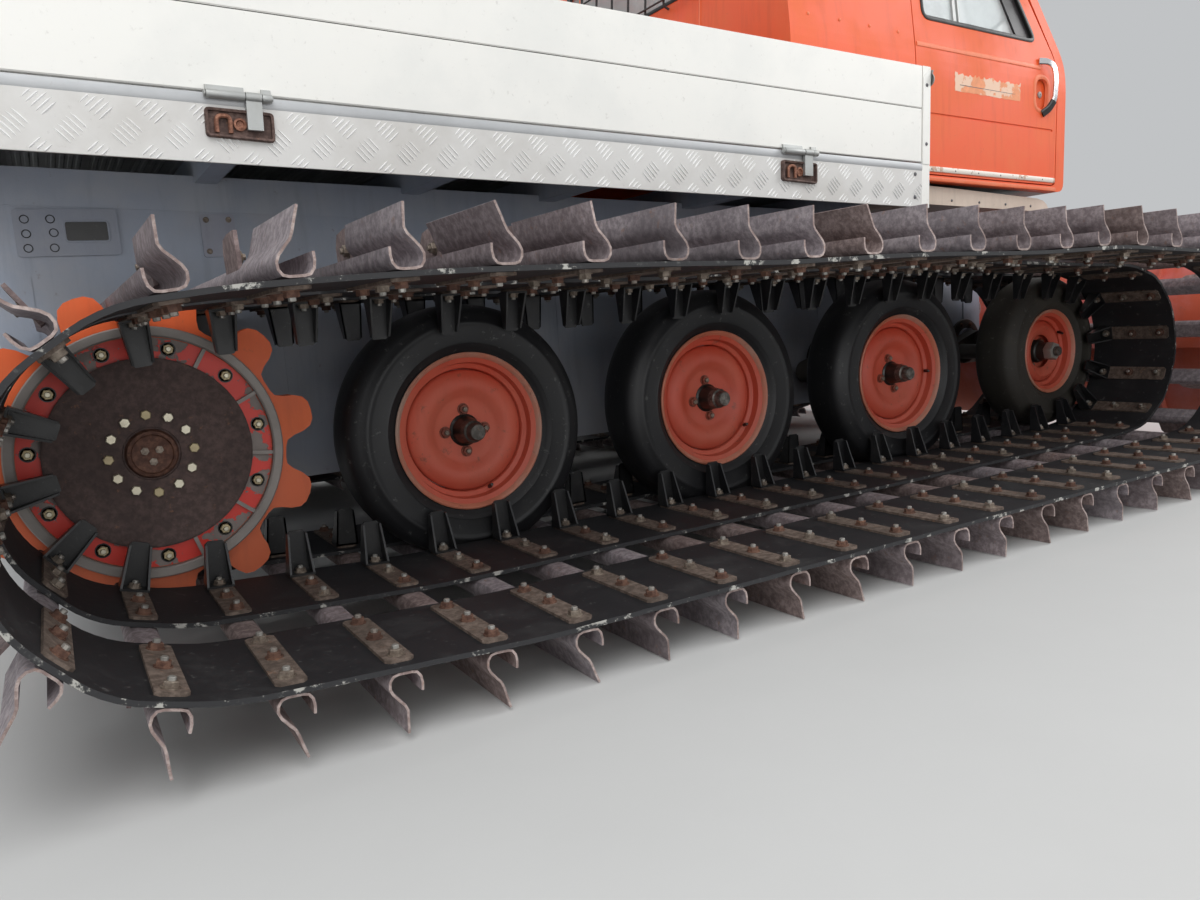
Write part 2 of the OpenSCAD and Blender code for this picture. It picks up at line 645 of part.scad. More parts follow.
// Mirrors: an arm out of the windscreen pillar, a bar forward from its end, and the head on the bar
mirror_arm_z = 1000;
mirror_arm_x = cab_front - pillar_slope * (mirror_arm_z - belt_line) - 40;
mirror_reach = 190;
mirror_forward = 120;
mirror_bar = 20;
module mirrors() {
    out = cab_half + mirror_reach;
    head_x = mirror_arm_x + mirror_forward;
    color("black") on_body() difference() {
        for (s = [-1, 1]) on_side(s) union() {
            box(mirror_arm_x, mirror_arm_x + mirror_bar, roof_half, out, mirror_arm_z, mirror_arm_z + mirror_bar);
            box(mirror_arm_x, head_x, out - mirror_bar, out, mirror_arm_z, mirror_arm_z + mirror_bar);
            box(head_x - 20, head_x + 24, out - 120, out + 50, mirror_arm_z - 110, mirror_arm_z + 190);
        }
        cab_solid(-seat_gap);
    }
}
lamp_r = 85;
module head_lamps() {
    color("white") on_body() for (s = [-1, 1]) translate([cab_front + seat_gap, s * 700, 390])
        rotate([0, 90, 0]) cylinder(r = lamp_r, h = 40, $fn = fn_round);
}
module beacon() {
    color("orange") on_body() translate([1700, 0, roof_z + seat_gap]) union() {
        cylinder(r = 65, h = 20, $fn = fn_round);
        translate([0, 0, 19]) cylinder(r1 = 56, r2 = 46, h = 110, $fn = fn_round);
    }
}
module exhaust_stack() {
    color("dimgray") on_body() translate([cover_front - 90, cover_half + 70, skirt_h + seat_gap]) union() {
        cylinder(r = 60, h = 640, $fn = fn_round);
        translate([0, 0, 639]) cylinder(r = 32, h = 330, $fn = fn_round);
    }
}
module side_boxes() {
    color("lightgray") on_body() for (s = [-1, 1]) on_side(s)
        box(bed_front + post_w + 10, cab_front - 60, hull_half + 40, cab_half - 24, 30, cab_low - seat_gap);
}

arm_half = arm_spread / 2;
carrier_outline = [[hull_nose + seat_gap, pivot_z + 110], [hull_nose + seat_gap, pivot_z - 60],
    [pivot_x + 50, pivot_z - 60], [pivot_x + 50, pivot_z + 60], [hull_nose + 30, pivot_z + 300],
    [hull_nose + seat_gap, pivot_z + 300]];
lift_top = [hull_nose + 40, pivot_z + 470];
lift_eye = [pivot_x + 190, pivot_z + 160];
lift_pin_r = 14;
lift_half = 36;
module front_carrier() {
    color("dimgray") place() union() {
        for (s = [-1, 1]) on_side(s) {
            for (y = [arm_half - 60, arm_half + 35]) across(y, y + 25) polygon(carrier_outline);
            pin_y(pivot_x, pivot_z, pivot_r, arm_half - 59, arm_half + 59);
            across(lift_half + 4, lift_half + 22) polygon([[hull_nose + seat_gap, lift_top.y - 60],
                [lift_top.x + 10, lift_top.y - 40], [lift_top.x + 30, lift_top.y], [lift_top.x + 10, lift_top.y + 30],
                [hull_nose + seat_gap, lift_top.y + 50]]);
        }
        pin_y(lift_top.x, lift_top.y, lift_pin_r, -lift_half - 20, lift_half + 20);
    }
}
module blade_arms() {
    color("orangered") place() difference() {
        union() {
            for (s = [-1, 1]) on_side(s) {
                pin_y(pivot_x, pivot_z, 45, arm_half - 32, arm_half + 32);
                across(arm_half - 32, arm_half + 32) polygon([[pivot_x, pivot_z - 45], [blade_back - 39, pivot_z - 70],
                    [blade_back - 39, pivot_z + 90], [pivot_x, pivot_z + 45]]);
            }
            box(blade_back - 110, blade_back - 41, -arm_half, arm_half, pivot_z - 60, pivot_z + 80);
            for (s = [-1, 1]) on_side(s) across(lift_half + 2, lift_half + 20) polygon([
                [blade_back - 109, pivot_z + 60], [blade_back - 45, pivot_z + 60], [blade_back - 45, lift_eye.y],
                [lift_eye.x + 20, lift_eye.y + 24], [lift_eye.x - 24, lift_eye.y + 18]]);
            pin_y(lift_eye.x, lift_eye.y, lift_pin_r, -lift_half - 18, lift_half + 18);
        }
        for (s = [-1, 1]) on_side(s) pin_y(pivot_x, pivot_z, pivot_r + 0.05, arm_half - 33, arm_half + 33);
    }
}
blade_mid_z = 480;
blade_angle = asin((blade_mid_z - blade_low) / blade_r);
module blade() {
    cx = blade_back + blade_r;
    outer = arc(cx, blade_mid_z, blade_r, 180 - blade_angle, 180 + blade_angle, 12);
    inner = arc(cx, blade_mid_z, blade_r - blade_t, 180 + blade_angle, 180 - blade_angle, 12);
    color("orangered") place() union() {
        across(-blade_w / 2, blade_w / 2) polygon(concat(outer, inner));
        for (s = [-1, 1]) on_side(s) across(blade_w / 2 - blade_t, blade_w / 2)
            polygon(concat(outer, [[blade_tip - 60, blade_low], [blade_tip, blade_low + 80],
                [blade_tip, blade_mid_z], [outer[0].x + 30, outer[0].y]]));
        for (s = [-1, 1]) on_side(s) across(arm_half - 40, arm_half + 40)
            polygon([[blade_back - 39, pivot_z - 70], [blade_back + 6, pivot_z - 70], [blade_back + 6, pivot_z + 90],
                [blade_back - 39, pivot_z + 90]]);
        box(blade_back - 30, blade_back + 14, -blade_w / 2 + 200, blade_w / 2 - 200, blade_mid_z - 60, blade_mid_z + 30);
    }
}
lift_dir = unit(lift_eye - lift_top);
lift_len = norm(lift_eye - lift_top);
lift_angle = atan2(lift_dir.y, lift_dir.x);
lift_bore_r = 30;
lift_rod_r = 19;
module along_lift() { translate([lift_top.x, 0, lift_top.y]) rotate([0, -lift_angle, 0]) children(); }
module lift_barrel() {
    color("gray") place() difference() {
        union() {
            pin_y(lift_top.x, lift_top.y, 28, -lift_half, lift_half);
            along_lift() rotate([0, 90, 0]) cylinder(r = 38, h = lift_len * 0.56, $fn = fn_round);
        }
        pin_y(lift_top.x, lift_top.y, lift_pin_r + 0.05, -lift_half - 4, lift_half + 4);
        along_lift() translate([36, 0, 0]) rotate([0, 90, 0]) cylinder(r = lift_bore_r, h = lift_len, $fn = fn_round);
    }
}
// The rod's eye is wider than its pin, since its path departs a little from the frame's
module lift_rod() {
    eye_r = lift_pin_r + 6;
    color("silver") place() difference() {
        union() {
            along_lift() translate([lift_len * 0.36, 0, 0]) rotate([0, 90, 0])
                cylinder(r = lift_rod_r, h = lift_len * 0.64 - 10, $fn = fn_round);
            along_lift() translate([lift_len * 0.36, 0, 0]) rotate([0, 90, 0])
                cylinder(r = lift_bore_r - 0.05, h = 30, $fn = fn_round);
            pin_y(lift_eye.x, lift_eye.y, eye_r + 12, -lift_half + 8, lift_half - 8);
        }
        pin_y(lift_eye.x, lift_eye.y, eye_r, -lift_half, lift_half);
    }
}
module rear_hitch() {
    color("dimgray") place() difference() {
        union() {
            box(-hull_tail - 20, -hull_tail - seat_gap, -360, 360, 470, 760);
            for (s = [-1, 1]) on_side(s) across(200, 225) polygon([[-hull_tail - 19, 480], [-hull_tail - 19, 740],
                [-hitch_back, 660], [-hitch_back, 560]]);
        }
        pin_y(-hitch_back + 50, 610, hitch_pin_r, -300, 300);
    }
}

chassis_hull();
engine_block();
suspension_arms(-1);  // suspension_arms_right
suspension_arms(1);  // suspension_arms_left
rims(-1);  // rims_right
rims(1);  // rims_left
tyres(-1);  // tyres_right
tyres(1);  // tyres_left
track(-1);  // track_right
track(1);  // track_left
drive_hub(-1);  // drive_hub_right
drive_hub(1);  // drive_hub_left
sprocket(-1);  // sprocket_right
sprocket(1);  // sprocket_left
bed_floor();
bed_frame();
bed_skirt();
bed_posts();
drop_side(-1);  // drop_side_right
drop_side(1);  // drop_side_left
tailgate();
engine_cover();
engine_lid();
cab_shell();
cab_floor();
windscreen();
cab_glass();
door(-1);  // door_right
door(1);  // door_left
door_glass(-1);  // door_glass_right
door_glass(1);  // door_glass_left
seats();
dashboard();
mirrors();
head_lamps();
beacon();
exhaust_stack();
side_boxes();
front_carrier();
blade_arms();
blade();
lift_barrel();
lift_rod();
rear_hitch();
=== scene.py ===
"""Looks of a tracked snow groomer: a flat load bed, a faded orange cab and rusty bars on black belts."""
import math
import random

import bmesh
import bpy
import numpy as np
from mathutils import Matrix, Vector


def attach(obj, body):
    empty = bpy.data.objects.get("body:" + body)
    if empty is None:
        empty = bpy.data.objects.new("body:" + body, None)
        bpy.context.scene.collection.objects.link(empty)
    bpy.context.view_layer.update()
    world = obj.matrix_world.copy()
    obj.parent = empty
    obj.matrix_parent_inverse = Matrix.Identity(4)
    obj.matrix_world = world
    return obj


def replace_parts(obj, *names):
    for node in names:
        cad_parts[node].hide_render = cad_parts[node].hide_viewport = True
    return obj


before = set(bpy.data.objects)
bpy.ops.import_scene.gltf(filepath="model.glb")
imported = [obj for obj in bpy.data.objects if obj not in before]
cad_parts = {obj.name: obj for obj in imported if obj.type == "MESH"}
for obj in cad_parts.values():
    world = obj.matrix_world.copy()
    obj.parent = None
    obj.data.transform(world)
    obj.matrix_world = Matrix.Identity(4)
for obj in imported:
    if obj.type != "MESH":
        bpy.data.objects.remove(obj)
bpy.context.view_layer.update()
rng = random.Random(7)


# Driving sizes in metres, as in the frame. ORIGIN_X is the place of the first road wheel's axle.
ORIGIN_X = -1.115
AXLE_Z = 0.440
TYRE_MID = 0.945
TYRE_R, RIM_R = 0.355, 0.220
IDLER = (2.690, 0.450, 0.316)
IDLER_RIM_R = 0.177
WHEELS = [(x, AXLE_Z, TYRE_R, RIM_R) for x in (0.0, 0.870, 1.755)] + [(*IDLER, IDLER_RIM_R)]
RAKE = math.radians(2.4)
DECK_Z = 1.130
SIDES = {"right": -1, "left": 1}
TREAD_CELL = 0.110
UP, AHEAD, LATERAL = (0, 0, 1), (1, 0, 0), (0, 1, 0)


def body_point(x, y, z):
    """A point of the sloping superstructure, in the frame."""
    return Vector((ORIGIN_X + x * math.cos(RAKE) + z * math.sin(RAKE), y,
        DECK_Z - x * math.sin(RAKE) + z * math.cos(RAKE)))


BODY_MATRIX = Matrix.Translation(body_point(0, 0, 0)) @ Matrix.Rotation(RAKE, 4, "Y")


# Camera, light and floor
CAMERA_AT = (-2.108, -3.385, 0.734)
CAMERA_YAW = 0.5358
CAMERA_PITCH = 0.1456
CAMERA_ROLL = -0.0706
FOCAL_PX = 912.5
PHOTO_WIDTH = 1200
SENSOR_MM = 36.0


def link_new(name, data):
    obj = bpy.data.objects.new(name, data)
    bpy.context.scene.collection.objects.link(obj)
    return obj


def make_camera():
    data = bpy.data.cameras.new("camera")
    data.sensor_width = SENSOR_MM
    data.lens = FOCAL_PX / PHOTO_WIDTH * SENSOR_MM
    data.clip_end = 100
    cam = link_new("camera", data)
    ahead = Vector((math.sin(CAMERA_YAW) * math.cos(CAMERA_PITCH),
        math.cos(CAMERA_YAW) * math.cos(CAMERA_PITCH), -math.sin(CAMERA_PITCH)))
    level = Vector((math.cos(CAMERA_YAW), -math.sin(CAMERA_YAW), 0))
    up = level.cross(ahead)
    x = math.cos(CAMERA_ROLL) * level + math.sin(CAMERA_ROLL) * up
    y = -math.sin(CAMERA_ROLL) * level + math.cos(CAMERA_ROLL) * up
    cam.matrix_world = Matrix.Translation(CAMERA_AT) @ Matrix((x, y, -ahead)).transposed().to_4x4()
    bpy.context.scene.camera = cam


def make_light(name, place, target, size, power):
    data = bpy.data.lights.new(name, "AREA")
    data.size = size
    data.energy = power
    lamp = link_new(name, data)
    lamp.location = place
    lamp.rotation_euler = (Vector(target) - Vector(place)).to_track_quat("-Z", "Y").to_euler()


def make_world():
    world = bpy.data.worlds.new("studio")
    bpy.context.scene.world = world
    world.use_nodes = True
    back = world.node_tree.nodes["Background"]
    back.inputs["Color"].default_value = (0.86, 0.88, 0.90, 1)
    back.inputs["Strength"].default_value = 0.62
    bpy.context.scene.view_settings.view_transform = "Standard"


# Materials
class Shader:
    """A material or group being built: adds nodes and links their sockets by name."""

    def __init__(self, tree, mat=None):
        self.tree = tree
        self.mat = mat

    def add(self, kind, settings=None, **inputs):
        node = self.tree.nodes.new(kind)
        for key, value in (settings or {}).items():
            setattr(node, key, value)
        for key, value in inputs.items():
            self.feed(node, key, value)
        return node

    def join(self, socket, value):
        """Links a socket to another, or sets it to a constant."""
        if isinstance(value, bpy.types.NodeSocket):
            self.tree.links.new(value, socket)
        elif isinstance(value, (tuple, list)) and len(value) == 3 and socket.type == "RGBA":
            socket.default_value = (*value, 1.0)
        else:
            socket.default_value = value

    def feed(self, node, key, value):
        numbered = key[0] == "i" and key[1:].isdigit()
        self.join(node.inputs[int(key[1:]) if numbered else key.replace("_", " ")], value)

    def math(self, operation, a, b=0.0, clamp=False):
        node = self.add("ShaderNodeMath", {"operation": operation, "use_clamp": clamp}, i0=a, i1=b)
        return node.outputs[0]

    def times(self, a, b, clamp=False):
        return self.math("MULTIPLY", a, b, clamp)

    def plus(self, a, b):
        return self.math("ADD", a, b)

    def minus(self, a, b):
        return self.math("SUBTRACT", a, b)

    def mix(self, fac, a, b):
        node = self.tree.nodes.new("ShaderNodeMix")
        node.data_type = "RGBA"
        for slot, value in ((0, fac), (6, a), (7, b)):
            self.join(node.inputs[slot], value)
        return node.outputs[2]

    def ramp(self, fac, low, high):
        """Rises from 0 at low to 1 at high."""
        node = self.add("ShaderNodeMapRange", {"interpolation_type": "SMOOTHSTEP"}, Value=fac)
        node.inputs["From Min"].default_value = low
        node.inputs["From Max"].default_value = high
        return node.outputs[0]

    def noise(self, vector, scale, detail=6.0, rough=0.6):
        node = self.add("ShaderNodeTexNoise", Vector=vector, Scale=scale, Detail=detail, Roughness=rough)
        return node.outputs["Fac"]

    def bump(self, height, strength, distance):
        return self.add("ShaderNodeBump", Height=height, Strength=strength, Distance=distance).outputs[0]

    def finish(self, colour, rough=None, height=None, strength=0.0, distance=0.0):
        """Feeds the material's colour, roughness and bump, and hands it over."""
        bsdf = self.tree.nodes["Principled BSDF"]
        self.feed(bsdf, "Base_Color", colour)
        if rough is not None:
            self.feed(bsdf, "Roughness", rough)
        if height is not None:
            self.feed(bsdf, "Normal", self.bump(height, strength, distance))
        return self.mat

    def stretched(self, vector, scale):
        return self.add("ShaderNodeMapping", Vector=vector, Scale=scale).outputs[0]


def wear_group():
    """Masks that several materials share: blotches, fine specks, and dirt that gathers low down."""
    tree = bpy.data.node_groups.new("wear_masks", "ShaderNodeTree")
    tree.interface.new_socket("Place", in_out="INPUT", socket_type="NodeSocketVector")
    for name in ("Blotch", "Speck", "Streak", "Low"):
        tree.interface.new_socket(name, in_out="OUTPUT", socket_type="NodeSocketFloat")
    sh = Shader(tree)
    vector = tree.nodes.new("NodeGroupInput").outputs["Place"]
    out = tree.nodes.new("NodeGroupOutput")
    blotch = sh.ramp(sh.noise(vector, 3.1, 8, 0.62), 0.42, 0.66)
    speck = sh.ramp(sh.noise(vector, 46.0, 6, 0.7), 0.60, 0.70)
    streak = sh.ramp(sh.noise(sh.stretched(vector, (9.0, 9.0, 0.9)), 3.0, 6, 0.65), 0.48, 0.72)
    height = sh.add("ShaderNodeSeparateXYZ", Vector=vector).outputs["Z"]
    ragged = sh.plus(height, sh.times(sh.noise(vector, 5.0), -0.5))
    low = sh.minus(1.0, sh.ramp(ragged, -0.15, 0.75))
    for name, value in (("Blotch", blotch), ("Speck", speck), ("Streak", streak), ("Low", low)):
        tree.links.new(value, out.inputs[name])
    return tree


def new_material(name, rough=0.6, metallic=0.0):
    """A material with its Principled shader, the shared masks and the surface's place."""
    mat = bpy.data.materials.new(name)
    mat.use_nodes = True
    sh = Shader(mat.node_tree, mat)
    bsdf = mat.node_tree.nodes["Principled BSDF"]
    bsdf.inputs["Roughness"].default_value = rough
    bsdf.inputs["Metallic"].default_value = metallic
    vector = sh.add("ShaderNodeTexCoord").outputs["Object"]
    return sh, vector, sh.add("ShaderNodeGroup", {"node_tree": WEAR}, Place=vector).outputs


def paint(name, fresh, faded, bare=(0.12, 0.05, 0.03), rust=0.5, rough=0.45):
    """Old paint: faded in blotches, with rust specks and dust low down."""
    sh, vector, masks = new_material(name)
    colour = sh.mix(masks["Blotch"], fresh, faded)
    colour = sh.mix(sh.times(masks["Streak"], 0.25), colour, tuple(c * 0.6 for c in fresh))
    spots = sh.times(sh.ramp(sh.noise(vector, 22.0, 9, 0.75), 0.66 - 0.1 * rust, 0.70), 0.85 * rust, True)
    colour = sh.mix(spots, colour, bare)
    colour = sh.mix(sh.times(masks["Low"], 0.28), colour, (0.20, 0.16, 0.12))
    dull = sh.plus(sh.times(masks["Blotch"], 0.2), rough)
    return sh.finish(colour, dull, sh.minus(sh.noise(vector, 240.0, 3), spots), 0.12, 0.002)


def flaked(name, fresh, bare):
    """Paint that has come off in sharp-edged patches, down to stained steel."""
    sh, vector, masks = new_material(name, 0.5)
    gone = sh.ramp(sh.noise(vector, 11.0, 7, 0.62), 0.525, 0.540)
    steel = sh.mix(sh.noise(vector, 34.0, 8, 0.7), bare, tuple(2.2 * c for c in bare))
    colour = sh.mix(gone, sh.mix(masks["Speck"], fresh, bare), steel)
    return sh.finish(colour, sh.plus(sh.times(gone, 0.25), 0.45), sh.minus(1.0, gone), 0.5, 0.0008)


def rusty(name, dark, light, rough=0.8, metallic=0.25, relief=0.5):
    """Rusted steel with pitted skin and lighter powdery patches."""
    sh, vector, masks = new_material(name, rough, metallic)
    fine = sh.noise(vector, 60.0, 10, 0.7)
    colour = sh.mix(sh.ramp(fine, 0.38, 0.66), dark, light)
    colour = sh.mix(sh.times(masks["Blotch"], 0.55), colour, tuple(0.55 * c for c in dark))
    colour = sh.mix(sh.times(masks["Speck"], 0.5), colour, (0.32, 0.16, 0.09))
    return sh.finish(colour, None, fine, relief, 0.003)


def rubber(name, base, dusty, rough=0.75, limits=(0.45, 0.75), amount=0.5, scale=7.0):
    sh, vector, masks = new_material(name, rough)
    dust = sh.times(sh.ramp(sh.noise(vector, scale, 9, 0.7), *limits), amount)
    colour = sh.mix(dust, base, dusty)
    colour = sh.mix(sh.times(masks["Speck"], 0.35), colour, (0.20, 0.20, 0.19))
    return sh.finish(colour, sh.plus(sh.times(dust, 0.3), rough - 0.12), sh.noise(vector, 180.0, 5), 0.15,
        0.002)


def metal(name, base, dull, rough=0.4, metallic=0.9, grain=(1.0, 1.0, 1.0)):
    sh, vector, masks = new_material(name, rough, metallic)
    lines = sh.noise(sh.stretched(vector, grain), 60.0, 6, 0.6)
    colour = sh.mix(sh.times(masks["Blotch"], 0.6), base, dull)
    colour = sh.mix(sh.times(masks["Speck"], 0.2), colour, (0.25, 0.22, 0.19))
    return sh.finish(colour, sh.plus(sh.times(lines, 0.25), rough - 0.1), lines, 0.08, 0.001)


def chequer(name):
    """Five-bar tread plate: groups of short raised bars, each group turned from the next."""
    sh, vector, masks = new_material(name, 0.52, 0.30)
    turned = sh.add("ShaderNodeMapping", Vector=vector, Rotation=(0, -RAKE, 0)).outputs[0]
    parts = sh.add("ShaderNodeSeparateXYZ", Vector=turned)
    along, upward = parts.outputs["X"], parts.outputs["Z"]
    cell = TREAD_CELL
    u = sh.math("DIVIDE", sh.plus(along, upward), cell)
    v = sh.math("DIVIDE", sh.minus(upward, along), cell)
    odd = sh.math("MODULO", sh.math("ABSOLUTE", sh.plus(sh.math("FLOOR", u), sh.math("FLOOR", v))), 2.0)
    fu, fv = sh.math("FRACT", u), sh.math("FRACT", v)

    def bars(across, length):
        stripe = sh.math("ABSOLUTE", sh.math("SINE", sh.times(across, math.pi * 5)))
        keep = sh.ramp(sh.math("ABSOLUTE", sh.minus(length, 0.5)), 0.46, 0.36)
        return sh.times(sh.ramp(stripe, 0.45, 0.85), keep)

    first, second = bars(fu, fv), bars(fv, fu)
    height = sh.plus(sh.times(odd, first), sh.times(sh.minus(1.0, odd), second))
    colour = sh.mix(sh.times(masks["Blotch"], 0.7), (0.56, 0.56, 0.56), (0.42, 0.42, 0.41))
    colour = sh.mix(sh.times(height, 0.25), colour, (0.74, 0.75, 0.75))
    colour = sh.mix(sh.times(masks["Streak"], 0.2), colour, (0.35, 0.31, 0.26))
    return sh.finish(colour, None, height, 0.9, 0.003)


def glass(name, tint=(0.80, 0.86, 0.86), alpha=0.35):
    sh, _, masks = new_material(name, 0.06)
    bsdf = sh.tree.nodes["Principled BSDF"]
    sh.feed(bsdf, "Alpha", sh.plus(sh.times(masks["Blotch"], 0.12), alpha))
    return sh.finish(tint)


make_camera()
make_world()
WEAR = wear_group()
LOOKS = {
    "orange": paint("faded_orange", (0.82, 0.098, 0.014), (0.80, 0.14, 0.040), rust=0.25),
    "rim": paint("rim_orange", (0.66, 0.072, 0.032), (0.66, 0.115, 0.062), rust=0.8, rough=0.5),
    "rim_lip": paint("rim_worn_lip", (0.66, 0.19, 0.11), (0.52, 0.33, 0.26), rust=0.9, rough=0.4),
    "boss": rusty("hub_boss", (0.090, 0.038, 0.026), (0.20, 0.095, 0.062), 0.65, 0.3, 0.4),
    "bar_brown": rusty("bar_rust_brown", (0.195, 0.142, 0.134), (0.40, 0.315, 0.30), relief=0.25),
    "bar_grey": rusty("bar_rust_grey", (0.255, 0.220, 0.236), (0.47, 0.415, 0.43), relief=0.2),
    "sprocket": paint("sprocket_orange", (0.78, 0.110, 0.014), (0.78, 0.14, 0.036), rust=0.35, rough=0.5),
    "red": flaked("worn_red", (0.74, 0.040, 0.024), (0.155, 0.130, 0.120)),
    "hull": paint("hull_grey", (0.34, 0.385, 0.47), (0.41, 0.43, 0.48), rust=0.45),
    "frame_grey": paint("frame_grey", (0.36, 0.405, 0.49), (0.43, 0.46, 0.51), rust=0.4),
    "patch": flaked("bare_patch", (0.78, 0.52, 0.37), (0.50, 0.20, 0.10)),
    # Dark paint of arms, carrier and guards; as the sheets behind louvres and grilles it is painted shade of
    # the openings.
    "dark": paint("dark_paint", (0.018, 0.018, 0.018), (0.05, 0.05, 0.05), rust=0.4, rough=0.55),
    "bar": rusty("bar_rust", (0.235, 0.190, 0.198), (0.44, 0.375, 0.385), relief=0.22),
    "disc": rusty("disc_rust", (0.088, 0.060, 0.056), (0.150, 0.100, 0.090), relief=0.3),
    "plate": rusty("plate_rust", (0.115, 0.085, 0.068), (0.25, 0.19, 0.155)),
    "nut": rusty("nut_steel", (0.19, 0.15, 0.12), (0.40, 0.34, 0.28), 0.55, 0.6, 0.3),
    "ring": metal("ring_steel", (0.33, 0.30, 0.28), (0.19, 0.165, 0.15), 0.6, 0.4),
    "tyre": rubber("tyre_rubber", (0.0085, 0.0085, 0.010), (0.026, 0.025, 0.024), 0.62),
    "idler_tyre": rubber("idler_rubber", (0.030, 0.026, 0.021), (0.080, 0.068, 0.052), 0.8),
    "belt": rubber("belt_rubber", (0.012, 0.012, 0.014), (0.048, 0.046, 0.046)),
    "fray": rubber("belt_fray", (0.026, 0.026, 0.028), (0.50, 0.49, 0.45), 0.95, (0.56, 0.62), 0.8, 24.0),
    "guide": rubber("guide_black", (0.010, 0.010, 0.011), (0.040, 0.038, 0.036), 0.5),
    "board": metal("board_aluminium", (0.86, 0.85, 0.81), (0.78, 0.78, 0.75), 0.50, 0.12, (0.3, 8.0, 8.0)),
    "chequer": chequer("chequer_plate"),
    # Black seal rubber; also the black sheet in the hull bracket's slot, which is painted shade.
    "seal": rubber("seal_rubber", (0.012, 0.012, 0.012), (0.03, 0.03, 0.03), 0.5),
    "glass": glass("cab_glass"),
    "lamp": glass("lamp_glass", (0.92, 0.93, 0.92), 0.6),
    "chrome": metal("chrome", (0.85, 0.86, 0.87), (0.7, 0.7, 0.7), 0.2, 1.0),
    "plastic": rubber("black_plastic", (0.02, 0.02, 0.02), (0.05, 0.05, 0.05), 0.45),
    "amber": paint("amber", (0.85, 0.28, 0.01), (0.85, 0.32, 0.03), rust=0.0, rough=0.2),
    "cloth": rubber("seat_cloth", (0.03, 0.03, 0.035), (0.07, 0.07, 0.075), 0.9),
    "trim": flaked("pale_trim", (0.78, 0.72, 0.64), (0.36, 0.25, 0.19)),
    # Lighter rust for the bars' cut ends: a painted highlight on the ends.
    "bar_edge": rusty("bar_cut_edge", (0.26, 0.19, 0.175), (0.52, 0.43, 0.40), 0.7, 0.25, 0.3),
    "grip": rusty("grip_rust", (0.230, 0.170, 0.165), (0.44, 0.345, 0.33), relief=0.3),
    "nut_rusty": rusty("nut_rust", (0.11, 0.055, 0.040), (0.24, 0.13, 0.09), 0.75, 0.35, 0.4),
    "stud": metal("stud_steel", (0.42, 0.41, 0.38), (0.24, 0.18, 0.14), 0.5, 0.7),
    "guide_edge": rubber("guide_worn_edge", (0.018, 0.018, 0.020), (0.075, 0.072, 0.068), 0.45),
    "hub_black": rubber("hub_black", (0.012, 0.011, 0.010), (0.045, 0.040, 0.034), 0.4),
    "axle_end": rusty("axle_end", (0.085, 0.075, 0.065), (0.24, 0.22, 0.20), 0.45, 0.6, 0.4),
    "rim_nut": rusty("rim_nut", (0.20, 0.055, 0.035), (0.34, 0.10, 0.06), 0.6, 0.1, 0.3),
    "zinc": metal("zinc_bolt", (0.60, 0.56, 0.44), (0.45, 0.40, 0.30), 0.4, 0.75),
    "zinc_dull": metal("zinc_bolt_dull", (0.48, 0.40, 0.24), (0.35, 0.28, 0.18), 0.5, 0.6),
    "chequer_flat": metal("chequer_plate_flat", (0.68, 0.67, 0.65), (0.54, 0.52, 0.49), 0.5, 0.15),
    "tread_bar": metal("chequer_plate_bar", (0.90, 0.90, 0.89), (0.78, 0.77, 0.75), 0.35, 0.25),
    # The rail's grey is dimmer than the tread plate's: the aluminium with painted shade from the boards
    # above.
    "rail": metal("bed_rail", (0.50, 0.51, 0.52), (0.40, 0.41, 0.42), 0.5, 0.35, (0.4, 6.0, 6.0)),
    "rivet_dark": metal("rivet_head", (0.16, 0.16, 0.17), (0.09, 0.08, 0.07), 0.5, 0.7),
    "hinge_rust": rusty("hinge_rust", (0.085, 0.052, 0.045), (0.20, 0.13, 0.11), 0.7, 0.35),
    "copper_rust": rusty("hinge_worn", (0.16, 0.065, 0.040), (0.42, 0.20, 0.13), 0.55, 0.45, 0.3),
    "tab_grey": metal("galvanised_tab", (0.46, 0.47, 0.46), (0.28, 0.26, 0.23), 0.5, 0.65),
    # Dark window frame rubber; also the dark band inside the door window's front edge, which is painted
    # shade.
    "window_frame": rubber("window_frame", (0.030, 0.026, 0.028), (0.085, 0.075, 0.075), 0.5),
    "pale_bar": metal("window_bar", (0.60, 0.61, 0.60), (0.40, 0.40, 0.38), 0.45, 0.5),
    # Lighter orange for raised strips, rims and rivets; on the door's crease it is a painted highlight.
    "orange_edge": paint("orange_edge", (0.80, 0.16, 0.055), (0.82, 0.25, 0.13), rust=0.2),
    "lining": rubber("door_lining", (0.060, 0.056, 0.052), (0.12, 0.112, 0.10), 0.85),
    "mirror": metal("mirror_glass", (0.88, 0.90, 0.91), (0.80, 0.82, 0.83), 0.12, 1.0),
    "cover_grey": paint("cover_grey", (0.60, 0.49, 0.40), (0.68, 0.57, 0.48), rust=0.35),
    "amber_lens": paint("amber_lens", (0.80, 0.25, 0.012), (0.84, 0.30, 0.03), rust=0.0, rough=0.22),
    "red_lens": paint("red_lens", (0.42, 0.010, 0.008), (0.50, 0.03, 0.02), rust=0.0, rough=0.22),
    "exhaust": rusty("exhaust_skin", (0.16, 0.125, 0.105), (0.34, 0.29, 0.25), 0.6, 0.6, 0.3),
    "bracket_grey": paint("bracket_grey", (0.28, 0.31, 0.38), (0.36, 0.375, 0.42), rust=0.5),
    "hull_light": paint("hull_panel", (0.32, 0.335, 0.41), (0.39, 0.40, 0.45), rust=0.35),
    "blade_orange": paint("blade_orange", (0.66, 0.11, 0.050), (0.70, 0.21, 0.20), (0.20, 0.14, 0.12), 0.7),
    "wear_steel": metal("wear_edge_steel", (0.36, 0.34, 0.32), (0.20, 0.14, 0.11), 0.45, 0.85, (0.3, 6, 6)),
}
